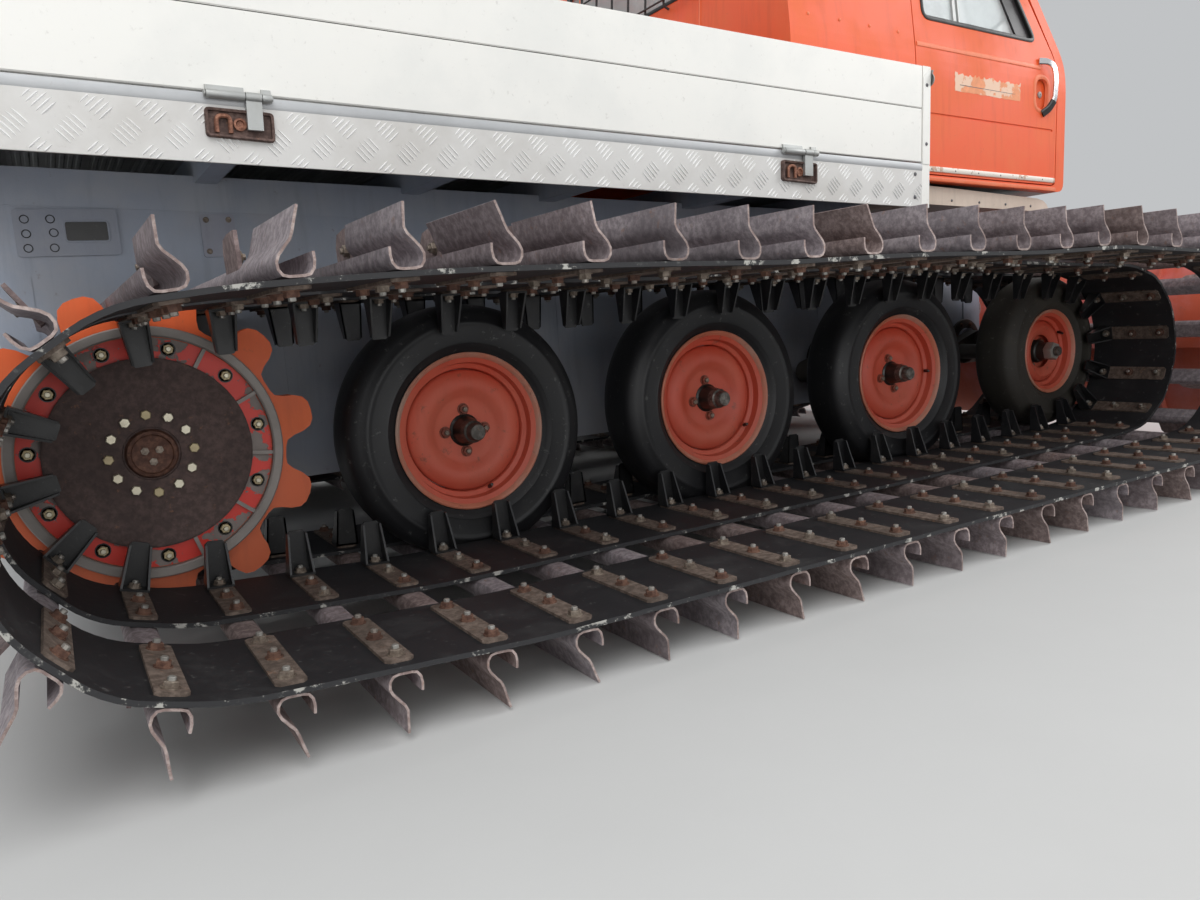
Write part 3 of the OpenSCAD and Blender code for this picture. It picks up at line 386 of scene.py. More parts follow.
# The nodes that keep their solids' form, by finish
NODE_LOOK = {
    "hull": ["chassis_hull"],
    "disc": ["engine_block"],
    "dark": ["suspension_arms_right", "suspension_arms_left", "front_carrier", "lift_barrel", "rear_hitch"],
    "sprocket": ["sprocket_right", "sprocket_left"],
    "chequer": ["bed_floor"],
    "frame_grey": ["bed_frame"],
    "board": ["bed_posts"],
    "orange": ["engine_cover", "engine_lid", "cab_shell", "door_right", "door_left", "blade_arms"],
    "plastic": ["cab_floor", "dashboard"],
    "glass": ["windscreen", "cab_glass", "door_glass_right", "door_glass_left"],
    "chrome": ["lift_rod"],
}


def mm(points):
    """Metres from millimetres."""
    return [(u / 1000, v / 1000) for u, v in points]


def rect(u0, u1, v0, v1):
    return [(u0, v0), (u1, v0), (u1, v1), (u0, v1)]


def rounded_rect(u0, u1, v0, v1, cut, steps=5):
    return rounded_loop(rect(u0, u1, v0, v1), [cut] * 4, steps)


def turned_about(place, *order):
    """The same place, asked for its three values in another order."""
    def other(*values):
        return place(*(values[i] for i in order))
    return other


def on_side(side, half=0.0, x0=0.0):
    """Place on a flat side: along the vehicle, height, distance out of the skin."""
    def place(x, z, rise):
        return Vector((x0 + x, side * (half + rise), z))
    return place


def on_end(x0, way=1, side=1):
    """Place on an upright end: lateral, height, distance out of it."""
    def place(y, z, rise):
        return Vector((x0 + way * rise, side * y, z))
    return place


def on_level(z0):
    def place(x, y, rise):
        return Vector((x, y, z0 + rise))
    return place


def off_round(angle, r, y=0.0):
    """A step from an axle's middle: away from it by r at an angle, and along it by y."""
    return Vector((math.cos(angle) * r, y, math.sin(angle) * r))


class Piece:
    """Collects the faces of one piece. Each face takes one of the piece's finishes."""

    def __init__(self, name, body="vehicle"):
        self.name = name
        self.body = body
        self.points = []
        self.faces = []
        self.finish = []
        self.looks = []

    def slot_of(self, look):
        if look not in self.looks:
            self.looks.append(look)
        return self.looks.index(look)

    def add(self, points, faces, look):
        start = len(self.points)
        slot = self.slot_of(look)
        self.points.extend(tuple(p) for p in points)
        self.faces.extend(tuple(start + i for i in f) for f in faces)
        self.finish.extend([slot] * len(faces))

    def make(self, smooth_angle=35, bevel=0.0, on_body=False):
        mesh = bpy.data.meshes.new(self.name)
        mesh.from_pydata(self.points, [], self.faces)
        for look in self.looks:
            mesh.materials.append(LOOKS[look])
        mesh.polygons.foreach_set("material_index", self.finish)
        if on_body:
            mesh.transform(BODY_MATRIX)
        obj = link_new(self.name, mesh)
        edit = bmesh.new()
        edit.from_mesh(mesh)
        bmesh.ops.recalc_face_normals(edit, faces=edit.faces)
        limit = math.radians(smooth_angle)
        for face in edit.faces:
            face.smooth = True
        for edge in edit.edges:
            edge.smooth = edge.is_manifold and edge.calc_face_angle(0.0) < limit
        edit.to_mesh(mesh)
        edit.free()
        if bevel:
            rounder = obj.modifiers.new("edges", "BEVEL")
            rounder.width = bevel
            rounder.segments = 2
            rounder.limit_method = "ANGLE"
            rounder.angle_limit = math.radians(40)
        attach(obj, self.body)
        return obj


def ring_faces(count, rows, closed_rows=False):
    """Quads between rows of points, each row a closed ring."""
    faces = []
    for r in range(rows if closed_rows else rows - 1):
        a, b = r * count, (r + 1) % rows * count
        faces += [(a + i, a + (i + 1) % count, b + (i + 1) % count, b + i) for i in range(count)]
    return faces


def add_prism(piece, outline, place, low, high, look):
    """Extrudes a flat outline. place(u, v, w) gives the point in space."""
    n = len(outline)
    points = [place(u, v, w) for w in (low, high) for u, v in outline]
    piece.add(points, ring_faces(n, 2), look)
    piece.add(points, [tuple(range(n)), tuple(range(n, 2 * n))], look)


def add_strip_bar(piece, left, right, place, low, high, look, edge_look):
    """A bent plate bar: its section lies between two lines, and its cut ends have their own finish, in the
    tracks a lighter rust that paints a highlight on the bars' ends.
    """
    n = len(left)
    section = left + right[::-1]
    points = [place(u, v, w) for w in (low, high) for u, v in section]
    piece.add(points, ring_faces(2 * n, 2), look)
    caps = []
    for base in (0, 2 * n):
        caps += [(base + i, base + i + 1, base + 2 * n - 2 - i, base + 2 * n - 1 - i) for i in range(n - 1)]
    piece.add(points, caps, edge_look)


BOX_FACES = [(0, 1, 3, 2), (4, 6, 7, 5), (0, 4, 5, 1), (2, 3, 7, 6), (0, 2, 6, 4), (1, 5, 7, 3)]


def add_box(piece, low, high, look, place=Vector):
    x0, y0, z0 = low
    x1, y1, z1 = high
    points = [place((x, y, z)) for x in (x0, x1) for y in (y0, y1) for z in (z0, z1)]
    piece.add(points, BOX_FACES, look)


def add_turned(piece, centre, axis, profile, look, segments=48, turn=0.0):
    """Turns (radius, distance along axis) points round an axis."""
    axis = Vector(axis).normalized()
    side = axis.orthogonal().normalized()
    other = axis.cross(side)
    rows = []
    for r, h in profile:
        for k in range(segments):
            a = turn + 2 * math.pi * k / segments
            rows.append(Vector(centre) + axis * h + (side * math.cos(a) + other * math.sin(a))
                * max(r, 1e-5))
    piece.add(rows, ring_faces(segments, len(profile)), look)


def add_nut(piece, at, out, size, look, stud_look):
    """A hexagon nut on a washer, with the end of its stud standing out."""
    turn = rng.random()
    low = size * 0.16
    add_turned(piece, at, out, [(0, 0), (size * 1.22, 0), (size * 1.22, low), (0, low)], look, 12)
    add_turned(piece, at, out, [(size, low), (size, low + size * 0.62), (size * 0.86, low + size * 0.72),
        (0, low + size * 0.72)], look, 6, turn)
    top = low + size * 0.72
    add_turned(piece, at, out, [(size * 0.52, top), (size * 0.52, top + size * 0.4),
        (size * 0.40, top + size * 0.5), (0, top + size * 0.5)], stud_look, 8, turn)


# Track route, as in the solids: arcs round the sprocket and the idler, joined by the runs
BAR_COUNT = 48
BAR_HEIGHT = 0.120
BELT_THICKNESS = 0.010
TOOTH_COUNT = 11
SPROCKET = (-0.806, 0.485)
TOP_RUN = mm([(2250, 806), (1750, 832), (1310, 824), (870, 833), (430, 826), (0, 835), (-400, 836)])
BELTS = mm([(-420, -80), (80, 420), (575, 915)])


def arc(cx, cz, r, start, end, steps):
    angles = [math.radians(start + (end - start) * i / steps) for i in range(steps + 1)]
    return [(cx + r * math.cos(a), cz + r * math.sin(a)) for a in angles]


def track_corners():
    half = math.pi / TOOTH_COUNT
    wrap = 0.189 / (2 * math.sin(half))
    idler_wrap = (IDLER[2] + BELT_THICKNESS / 2) / math.cos(half)
    route = (arc(*SPROCKET, wrap, 92, 267, 30) + [(-0.240, BAR_HEIGHT)]
        + arc(IDLER[0], BAR_HEIGHT + idler_wrap, idler_wrap, -90, 86, 30) + TOP_RUN)
    route = np.array(route + route[:1])
    lengths = np.concatenate([[0], np.cumsum(np.linalg.norm(np.diff(route, axis=0), axis=1))])
    at = (np.arange(BAR_COUNT) + 0.5) * lengths[-1] / BAR_COUNT
    return np.stack([np.interp(at, lengths, route[:, i]) for i in (0, 1)], axis=1)


CORNERS = track_corners()


def bar_seats():
    """For each bar: the middle of its seat, the way along the belt, and the way out of the loop."""
    seats = []
    for k in range(BAR_COUNT):
        a, b = CORNERS[k], CORNERS[(k + 1) % BAR_COUNT]
        along = (b - a) / np.linalg.norm(b - a)
        seats.append(((a + b) / 2, along, np.array([along[1], -along[0]])))
    return seats


SEATS = bar_seats()


def belt_line():
    """The outer face of a belt: flat at each bar, bending between them."""
    line = []
    flat = 0.030
    for k in range(BAR_COUNT):
        mid, along, out = SEATS[k]
        nxt, along_2, out_2 = SEATS[(k + 1) % BAR_COUNT]
        start, end = mid + along * flat, nxt - along_2 * flat
        span = np.linalg.norm(end - start)
        line.append((mid - along * flat, out))
        line.append((start, out))
        for t in (0.2, 0.4, 0.6, 0.8):
            h1, h2 = (1 - t) ** 2 * (1 + 2 * t), t * t * (3 - 2 * t)
            g1, g2 = t * (1 - t) ** 2, -t * t * (1 - t)
            point = start * h1 + end * h2 + (along * g1 + along_2 * g2) * span
            normal = out * (1 - t) + out_2 * t
            line.append((point, normal / np.linalg.norm(normal)))
    return line


def track_place(side, mid, along, out):
    """Turns (along, out, lateral offset from the tyre's middle) into a point of the frame."""
    def place(u, v, w):
        p = mid + along * u + out * v
        return Vector((ORIGIN_X + p[0], side * (TYRE_MID + w), p[1]))
    return place


def offset_lines(middle, half):
    """The two sides of a bent plate, from its middle line and half its thickness."""
    pts = [np.array(p) for p in middle]
    left, right = [], []
    for i, p in enumerate(pts):
        a = pts[max(i - 1, 0)]
        b = pts[min(i + 1, len(pts) - 1)]
        d = (b - a) / np.linalg.norm(b - a)
        n = np.array([-d[1], d[0]])
        left.append(tuple(p + n * half))
        right.append(tuple(p - n * half))
    return left, right


# The bars that were fitted the other way round
TURNED_BARS = {46}
BAR_PLATE = 0.0048
PLATE_THICKNESS = 0.006
FIN_FROM, FIN_TO = 0.570, 0.915


def bar_line(tip, fin):
    """Middle line of a bar's section: short leg, foot, long leg, and the fin where there is one."""
    line = mm([(-31, 42), (-31.5, 28), (-29, 15), (-22, 6), (-12, 4), (12, 4), (22, 7), (28, 16), (29, 28),
        (24, 39)])
    if fin:
        line += [(0.013, 0.052), (0.003, 0.063), (-0.002, 0.074), ((tip - 0.002) / 2, 0.096), (tip, 0.1165)]
    else:
        line += [(0.017, 0.048)]
    return line


def make_track(side_name, side):
    bars = Piece("bars_" + side_name)
    grips = Piece("grip_plates_" + side_name)
    plates = Piece("belt_plates_" + side_name)
    nuts = Piece("belt_nuts_" + side_name)
    guides = Piece("guides_" + side_name)
    for k, (mid, along, out) in enumerate(SEATS):
        tip = -0.006 + rng.uniform(-0.014, 0.008)
        turn = 1 if k in TURNED_BARS else -1
        place = track_place(side, mid, along * turn, out)
        full = offset_lines(bar_line(tip, True), BAR_PLATE / 2)
        low = offset_lines(bar_line(tip, False), BAR_PLATE / 2)
        end = FIN_TO - rng.uniform(0, 0.006)
        look = rng.choice(("bar", "bar_brown", "bar_grey"))
        # The bars' cut ends take the lighter rust finish, a painted highlight.
        for y0, y1, lines in ((-0.420, FIN_FROM, low), (FIN_FROM, end, full)):
            add_strip_bar(bars, *lines, place, y0, y1, look, "bar_edge")
        lean = rng.uniform(-0.004, 0.004)
        outline = [(0.428, 0.030), (0.428, 0.088 + lean), (0.446, 0.110), (0.498, 0.117), (0.566, 0.1175),
            (0.566, 0.030)]
        add_prism(grips, outline, turned_about(place, 2, 1, 0), 0.016, 0.024, "grip")
        add_nut(grips, place(0.016, 0.070, 0.515), tuple(place(-1, 0, 0) - place(0, 0, 0)), 0.013, "nut",
            "nut")
        inward = track_place(side, mid, along, -out)
        out_of = tuple(inward(0, 1, 0) - inward(0, 0, 0))
        base = BELT_THICKNESS
        for y0, y1 in ((0.604, 0.892), (0.112, 0.398), (-0.398, -0.112)):
            half, cut = 0.027, 0.008
            shape = [(-half, y0 + cut), (-half + cut, y0), (half - cut, y0), (half, y0 + cut),
                (half, y1 - cut), (half - cut, y1), (-half + cut, y1), (-half, y1 - cut)]
            add_prism(plates, shape, turned_about(inward, 0, 2, 1), base, base + PLATE_THICKNESS, "plate")
        for w in (0.634, 0.748, 0.862, 0.254, 0.368, -0.254, -0.368):
            spot = inward(rng.uniform(-0.003, 0.003), base + PLATE_THICKNESS, w)
            add_nut(nuts, spot, out_of, 0.0135, rng.choice(("nut", "nut_rusty", "nut_rusty")), "stud")
        for flip in (1, -1):
            add_guide(guides, nuts, inward, out_of, flip, base + PLATE_THICKNESS)
    for piece in (bars, grips, plates, nuts, guides):
        piece.make(bevel=0.0012 if piece is grips else 0)
    belts = Piece("belts_" + side_name)
    line = belt_line()
    for y0, y1 in BELTS:
        rows = []
        n = len(line)
        for i, (p, normal) in enumerate(line):
            ragged = [rng.uniform(-0.0012, 0.0012) for _ in range(2)]
            inner = p - normal * BELT_THICKNESS
            for q, y in ((p, y0 + ragged[0]), (p, y1 - ragged[1]), (inner, y1 - ragged[1]),
                    (inner, y0 + ragged[0])):
                rows.append((ORIGIN_X + q[0], side * (TYRE_MID + y), q[1]))
        for face, look in ((0, "belt"), (1, "fray"), (2, "belt"), (3, "fray")):
            nxt = (face + 1) % 4
            quads = [(i * 4 + face, i * 4 + nxt, (i + 1) % n * 4 + nxt, (i + 1) % n * 4 + face)
                for i in range(n)]
            belts.add(rows, quads, look)
    joined = belts.make(smooth_angle=60)
    weld(joined)
    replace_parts(joined, "track_" + side_name)


def weld(obj):
    edit = bmesh.new()
    edit.from_mesh(obj.data)
    bmesh.ops.remove_doubles(edit, verts=edit.verts, dist=1e-6)
    bmesh.ops.recalc_face_normals(edit, faces=edit.faces)
    for edge in edit.edges:
        edge.smooth = edge.is_manifold and edge.calc_face_angle(0.0) < math.radians(40)
    edit.to_mesh(obj.data)
    edit.free()


def add_guide(guides, nuts, inward, out_of, flip, base):
    """A belt guide beside the tyre: a folded channel on the plate, its open side away from the tyre."""
    foot, top, height, thick = 0.031, 0.024, 0.106, 0.005
    near, far = 0.114 * flip, 0.166 * flip
    wall = near + thick * flip

    def face(u, v, w):
        return inward(u, base + v, w)

    web = [(-foot, 0), (-top, height - 0.008), (-top + 0.008, height), (top - 0.008, height),
        (top, height - 0.008), (foot, 0)]
    add_prism(guides, web, face, near, wall, "guide")
    for s in (-1, 1):
        flange = [(s * foot, 0), (s * top, height - 0.006), (s * (top - thick), height - 0.006),
            (s * (foot - thick), 0)]
        reach = [far, near + 0.018 * flip, near + 0.018 * flip, far]
        points = [face(u, v, near) for u, v in flange] + [face(u, v, w) for (u, v), w in zip(flange, reach)]
        guides.add(points, [(0, 1, 2, 3), (4, 7, 6, 5), (0, 4, 5, 1), (1, 5, 6, 2), (2, 6, 7, 3),
            (3, 7, 4, 0)], "guide_edge")
    sole = rect(-foot, foot, near, far)
    add_prism(guides, sole, turned_about(face, 0, 2, 1), 0, thick, "guide")
    add_nut(nuts, face(0, thick, 0.142 * flip), out_of, 0.0125, "nut", "stud")


# Wheels, from the hub outwards: radius, distance outboard of the tyre's middle plane
def rim_profile(r):
    return [(r - 0.030, -0.066), (r, -0.067), (r + 0.001, -0.075), (r - 0.006, -0.075), (r - 0.012, -0.068),
        (r - 0.030, -0.060), (r - 0.034, -0.030), (r - 0.046, -0.022), (r - 0.046, 0.020),
        (r - 0.043, 0.030), (r - 0.031, 0.036), (r - 0.027, 0.058), (r - 0.014, 0.064)]


def lip_profile(r):
    return [(r - 0.014, 0.064), (r - 0.009, 0.073), (r - 0.003, 0.077), (r + 0.001, 0.074), (r, 0.066),
        (r - 0.020, 0.060)]


def disc_profile(r, sink):
    """The wheel's dished disc. Sink sets its middle further in."""
    edge = r - 0.048
    return [(edge, 0.008), (edge, 0.024), (edge - 0.006, 0.031), (edge - 0.022, 0.042),
        (edge - 0.042, 0.046 - sink / 4), (edge - 0.058, 0.041 - sink / 2), (0.098, 0.028 - sink),
        (0.088, 0.023 - sink), (0.074, 0.022 - sink), (0.036, 0.022 - sink), (0.036, 0.012 - sink)]


def make_wheels(side_name, side):
    rims = Piece("rims_detailed_" + side_name)
    hubs = Piece("wheel_hubs_" + side_name)
    out = (0, side, 0)
    for k, (x, z, _, rim_r) in enumerate(WHEELS):
        centre = Vector((ORIGIN_X + x, side * TYRE_MID, z))
        sink = 0.0 if k < 3 else 0.034
        add_turned(rims, centre, out, rim_profile(rim_r), "rim", 72)
        add_turned(rims, centre, out, lip_profile(rim_r), "rim_lip", 72)
        add_turned(rims, centre, out, disc_profile(rim_r, sink), "rim", 72)
        add_turned(hubs, centre, out, mm([(50, -20), (50, 12), (46, 24), (40, 28), (37, 50), (34, 60),
            (34, 70)]), "hub_black", 32)
        if k < 3:
            add_turned(hubs, centre, out, mm([(34, 66), (31, 90), (26, 94), (25, 112), (21, 118),
                (0, 119)]), "axle_end", 28)
        else:
            add_turned(hubs, centre, out, mm([(40, 62), (40, 90), (36, 96), (0, 96)]), "stud", 6)
            add_turned(hubs, centre, out, mm([(20, 95), (20, 112), (0, 114)]), "axle_end", 20)
        studs = 4 if k < 3 else 5
        for i in range(studs):
            a = math.pi / 2 + 2 * math.pi * i / studs + 0.12 * k
            spot = centre + off_round(a, 0.060, side * (0.022 - sink))
            add_nut(hubs, spot, out, 0.0140, "rim_nut", "nut")
        a = math.radians(-72 + 35 * k)
        valve = centre + off_round(a, rim_r - 0.040, side * 0.034)
        add_turned(hubs, valve, (math.cos(a) * -0.4, side, math.sin(a) * -0.4),
            mm([(6, 0), (6, 20), (4, 30), (0, 31)]), "hub_black", 10)
    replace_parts(rims.make(smooth_angle=42), "rims_" + side_name)
    hubs.make()
    tyres = Piece("tyres_worn_" + side_name)
    for x, z, r, rim_r in WHEELS:
        low = rim_r - 0.012
        shape = [(low, -0.064), (rim_r + 0.002, -0.068), (rim_r + 0.012, -0.080), (rim_r + 0.020, -0.085),
            (rim_r + 0.026, -0.0890), (rim_r + 0.031, -0.0875), ((r + rim_r) / 2, -0.0905),
            (r - 0.062, -0.0905), (r - 0.058, -0.0930), (r - 0.051, -0.0930), (r - 0.047, -0.0900),
            (r - 0.032, -0.084), (r - 0.014, -0.074), (r - 0.004, -0.058), (r - 0.001, -0.030), (r, 0.0)]
        shape += [(a, -b) for a, b in shape[-2::-1]]
        first = len(tyres.points)
        look = "tyre" if x < IDLER[0] else "idler_tyre"
        add_turned(tyres, (ORIGIN_X + x, side * TYRE_MID, z), out, shape, look, 96)
        for i in range(first, len(tyres.points)):
            px, py, pz = tyres.points[i]
            floor = 0.1215 if abs(abs(py) - TYRE_MID) < 0.079 else 0.1315
            tyres.points[i] = (px, py, max(pz, floor))
    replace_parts(tyres.make(smooth_angle=50), "tyres_" + side_name)


def make_drive_hub(side_name, side):
    """The drive wheel's middle: hub disc, painted plate with ribs, steel ring and their bolts."""
    centre = Vector((ORIGIN_X + SPROCKET[0], side * TYRE_MID, SPROCKET[1]))
    out = (0, side, 0)
    hub = Piece("drive_hub_detailed_" + side_name)
    add_turned(hub, centre, out, mm([(0, -473), (130, -473), (130, -120), (110, -80), (110, -40),
        (275, -40), (275, -31), (205, -31), (205, 32)]), "disc", 56)
    add_turned(hub, centre, out, mm([(205, 32), (275.5, 32), (275.5, 30.5)]), "red", 88)
    add_turned(hub, centre, out, mm([(301, 30.2), (301, 46), (298, 49), (281, 49), (277, 46), (277, 32)]),
        "ring", 88)
    add_turned(hub, centre, out, mm([(227, 32), (227, 45), (224, 47), (219, 47), (214, 44), (120, 44),
        (64, 44.5), (62, 41), (59, 41)]), "disc", 72)
    add_turned(hub, centre, out, mm([(59, 41), (58, 47), (54, 56), (47, 58), (44, 54), (40, 53), (0, 53)]),
        "boss", 56)
    radial = math.radians(-7)
    for k in range(TOOTH_COUNT):
        a = radial + 2 * math.pi * k / TOOTH_COUNT
        way = off_round(a, 1)
        across = Vector((-way.z, 0, way.x))
        points = [centre + way * r + across * s + Vector((0, side * h, 0)) for r in (0.226, 0.278)
            for s in (-0.0045, 0.0045) for h in (0.030, 0.043)]
        hub.add(points, BOX_FACES, "ring")
        spot = centre + off_round(a + math.pi / TOOTH_COUNT, 0.251, side * 0.032)
        add_turned(hub, spot, out, rect(0, 0.0175, 0.0004, 0.002), "seal", 18)
        add_nut(hub, spot, out, 0.0125, "zinc_dull", "zinc")
    for k in range(12):
        a = 2 * math.pi * (k + 0.05) / 12
        spot = centre + off_round(a, 0.093, side * 0.044)
        add_turned(hub, spot, out, mm([(12.5, 0), (12.5, 7), (10.5, 9), (0, 9)]), "zinc" if k % 3
            else "zinc_dull", 6, a)
    for k in range(3):
        a = math.radians(30 + 120 * k)
        spot = centre + off_round(a, 0.018, side * 0.053)
        add_turned(hub, spot, out, mm([(9.5, 0), (9.5, 7), (0, 8.5)]), "nut", 6)
    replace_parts(hub.make(), "drive_hub_" + side_name)


for side_name, side in SIDES.items():
    make_track(side_name, side)
    make_wheels(side_name, side)
    make_drive_hub(side_name, side)


# Loops, bands and swept bars
def rounded_loop(corners, cuts, steps=5):
    """A flat loop whose corners are rounded by curves that start the given distances before them."""
    loop = []
    for i, (corner, cut) in enumerate(zip(corners, cuts)):
        q = Vector(corner)
        if cut == 0:
            loop.append(q)
            continue
        a = q + (Vector(corners[i - 1]) - q).normalized() * cut
        b = q + (Vector(corners[(i + 1) % len(corners)]) - q).normalized() * cut
        for k in range(steps + 1):
            t = k / steps
            loop.append(a * (1 - t) ** 2 + q * (2 * t * (1 - t)) + b * t * t)
    return loop


def outward_ways(loop):
    """The way out of a counter-clockwise loop at each of its points, long enough to keep a band's width."""
    ways = []
    for i, p in enumerate(loop):
        a = (p - loop[i - 1]).normalized()
        b = (loop[(i + 1) % len(loop)] - p).normalized()
        na, nb = Vector((a.y, -a.x)), Vector((b.y, -b.x))
        ways.append((na + nb) / (1 + na.dot(nb)))
    return ways


def drawn_in(loop, by):
    """A loop moved inwards all round."""
    return [tuple(p - way * by) for p, way in zip(loop, outward_ways(loop))]


def add_band(piece, loop, section, place, look):
    """A band round a flat loop. Its section gives distance out of the loop and height over the surface."""
    points = []
    for p, way in zip(loop, outward_ways(loop)):
        for off, rise in section:
            q = p + way * off
            points.append(place(q.x, q.y, rise))
    piece.add(points, ring_faces(len(section), len(loop), True), look)


def add_sweep(piece, path, section, up, look):
    """Draws a section along a path. The section's second axis points to the side called up."""
    path = [Vector(p) for p in path]
    up = Vector(up)
    points = []
    for i, p in enumerate(path):
        ahead = (path[min(i + 1, len(path) - 1)] - path[max(i - 1, 0)]).normalized()
        across = ahead.cross(up).normalized()
        over = across.cross(ahead).normalized()
        points += [p + across * a + over * b for a, b in section]
    n = len(section)
    last = n * (len(path) - 1)
    piece.add(points, ring_faces(n, len(path)) + [tuple(range(n)), tuple(range(last, last + n))], look)


def round_section(r, steps=10):
    return [(r * math.cos(2 * math.pi * k / steps), r * math.sin(2 * math.pi * k / steps))
        for k in range(steps)]


def flat_section(width, thick):
    c = thick * 0.3
    x, y = width / 2, thick / 2
    return [(-x + c, -y), (x - c, -y), (x, -y + c), (x, y - c), (x - c, y), (-x + c, y), (-x, y - c),
        (-x, -y + c)]


def smooth_path(corners, cut, steps=5):
    """An open path whose inner corners are rounded."""
    corners = [Vector(c) for c in corners]
    path = [corners[0]]
    for a, q, b in zip(corners, corners[1:], corners[2:]):
        start = q + (a - q).normalized() * cut
        end = q + (b - q).normalized() * cut
        path += [start * (1 - k / steps) ** 2 + q * (2 * k / steps * (1 - k / steps)) + end * (k / steps) ** 2
            for k in range(steps + 1)]
    return path + [corners[-1]]


def add_rivet(piece, at, out, r, look):
    add_turned(piece, at, out, [(r, -0.001), (r * 0.92, r * 0.28), (r * 0.55, r * 0.5), (0, r * 0.56)],
        look, 14)


def add_bolt(piece, at, out, size, look):
    """A washer and a plain hexagon head."""
    add_turned(piece, at, out, [(size * 1.3, -0.001), (size * 1.3, size * 0.2), (0, size * 0.2)], look, 16)
    add_turned(piece, at, out, [(size, size * 0.2), (size, size * 0.75), (size * 0.85, size * 0.85),
        (0, size * 0.85)], look, 6, rng.random())


# Load bed, in the sloping body's own frame
BED_REAR, BED_FRONT, BED_HALF = -1.145, 1.885, 1.020
BED_POST = 0.042
POST_LOW, POST_TOP, LATCH_Z = 0.468, 0.506, 0.464
RAIL_LOW, SKIRT_TOP = 0.133, 0.160
BOARD_LOW, BOARD_SEAM, BOARD_TOP = 0.164, 0.357, 0.509
BOARD_THICK = 0.028
HINGE_OUT, HINGE_Z = 1.034, 0.154
SIDE_HINGES = (1.265, -0.525)
TAIL_HINGES = (-0.600, 0.600)
TAIL_HALF = 0.958


def beside(side):
    """Place along one side of the body: along the body, distance from its middle, height."""
    def place(x, y, z):
        return Vector((x, side * y, z))
    return place


def behind(x, y, z):
    """The same across the tail: lateral place, distance that it would have on a side, height."""
    return Vector((BED_REAR + BED_HALF - y, x, z))


def add_tread(piece, x0, x1, z0, z1, place):
    """Raised bars of a five-bar tread plate, in groups that turn by a quarter from one to the next."""
    cell, half_length, half_width, rise = TREAD_CELL, 0.029, 0.0031, 0.0025
    pitch, shrink = 0.0122, 0.06
    low = -0.0006
    count = int(max(abs(x0), abs(x1)) / cell) + 3
    for i in range(-count, count + 1):
        for j in range(-count, count + 1):
            cx, cz = (i - j) * cell / 2, (i + j + 1) * cell / 2
            if not (x0 - cell < cx < x1 + cell and z0 - cell < cz < z1 + cell):
                continue
            along = Vector((1, 1)) if (i + j) % 2 else Vector((-1, 1))
            along.normalize()
            across = Vector((along.y, -along.x))
            for k in range(-2, 3):
                mid = Vector((cx, cz)) + across * (k * pitch)
                ends = []
                for way in (-1, 1):
                    reach = half_length * (1 - shrink * abs(k))
                    step = along * way
                    for at, toward, lo, hi in ((mid.x, step.x, x0, x1), (mid.y, step.y, z0, z1)):
                        room = ((hi if toward > 0 else lo) - at) / toward
                        reach = min(reach, room)
                    ends.append(reach * way)
                if ends[1] - ends[0] < 4 * half_width:
                    continue
                spots = [(1.0, 0, 0), (0.45, 1, 0), (0.45, -1, 0), (0.5, 0, 1)]
                points = []
                for end in ends:
                    for share, wide, high in spots:
                        q = mid + along * end * share + across * wide * half_width
                        points.append(place(q.x, BED_HALF + (rise if high else low), q.y))
                piece.add(points, [(0, 1, 3), (0, 3, 2), (4, 7, 5), (4, 6, 7), (1, 5, 7, 3), (3, 7, 6, 2),
                    (0, 2, 6, 4, 5, 1)], "tread_bar")


def add_fixed_bed_hinge(piece, x, place):
    """The rusty bracket with its rim and rod loop, and the grey tab that holds the pin."""
    def flat(u, v, w):
        return place(u, BED_HALF + w, v)

    out = place(0, 1, 0) - place(0, 0, 0)
    low, high = 0.055, 0.124
    left, right = x - 0.078, x + 0.076
    loop = rounded_loop([(left, low + 0.004), (right, low), (right, high - 0.002), (left, high)],
        [0.009] * 4, 3)
    add_prism(piece, loop, flat, -0.001, 0.004, "hinge_rust")
    add_band(piece, loop, mm([(-7, 2), (-6, 12), (-1, 14), (1, 10), (1, 0)]), flat, "hinge_rust")
    bend = [(x - 0.055, 0.068), (x - 0.055, 0.106), (x - 0.024, 0.108), (x - 0.024, 0.068)]
    loop_path = smooth_path([place(u, BED_HALF + 0.011, v) for u, v in bend], 0.014)
    add_sweep(piece, loop_path, round_section(0.0055), out, "copper_rust")
    eye = place(x - 0.002, BED_HALF + 0.003, 0.090)
    add_turned(piece, eye, out, mm([(15, 0), (15, 8), (10, 9), (8, 4), (0, 4)]), "copper_rust", 20)
    add_box(piece, (x + 0.014, BED_HALF + 0.008, 0.078), (x + 0.050, BED_HALF + 0.019, 0.150), "tab_grey",
        lambda p: place(*p))
    ahead = place(1, 0, 0) - place(0, 0, 0)
    pin_start = place(x - 0.080, HINGE_OUT, HINGE_Z)
    add_turned(piece, place(x + 0.014, HINGE_OUT, HINGE_Z), ahead, rect(0, 0.0112, 0, 0.036), "tab_grey",
        24)
    add_turned(piece, pin_start, ahead, mm([(0, 0), (8, 1), (8, 4), (5.5, 5), (5.5, 157), (0, 158)]),
        "tab_grey", 18)


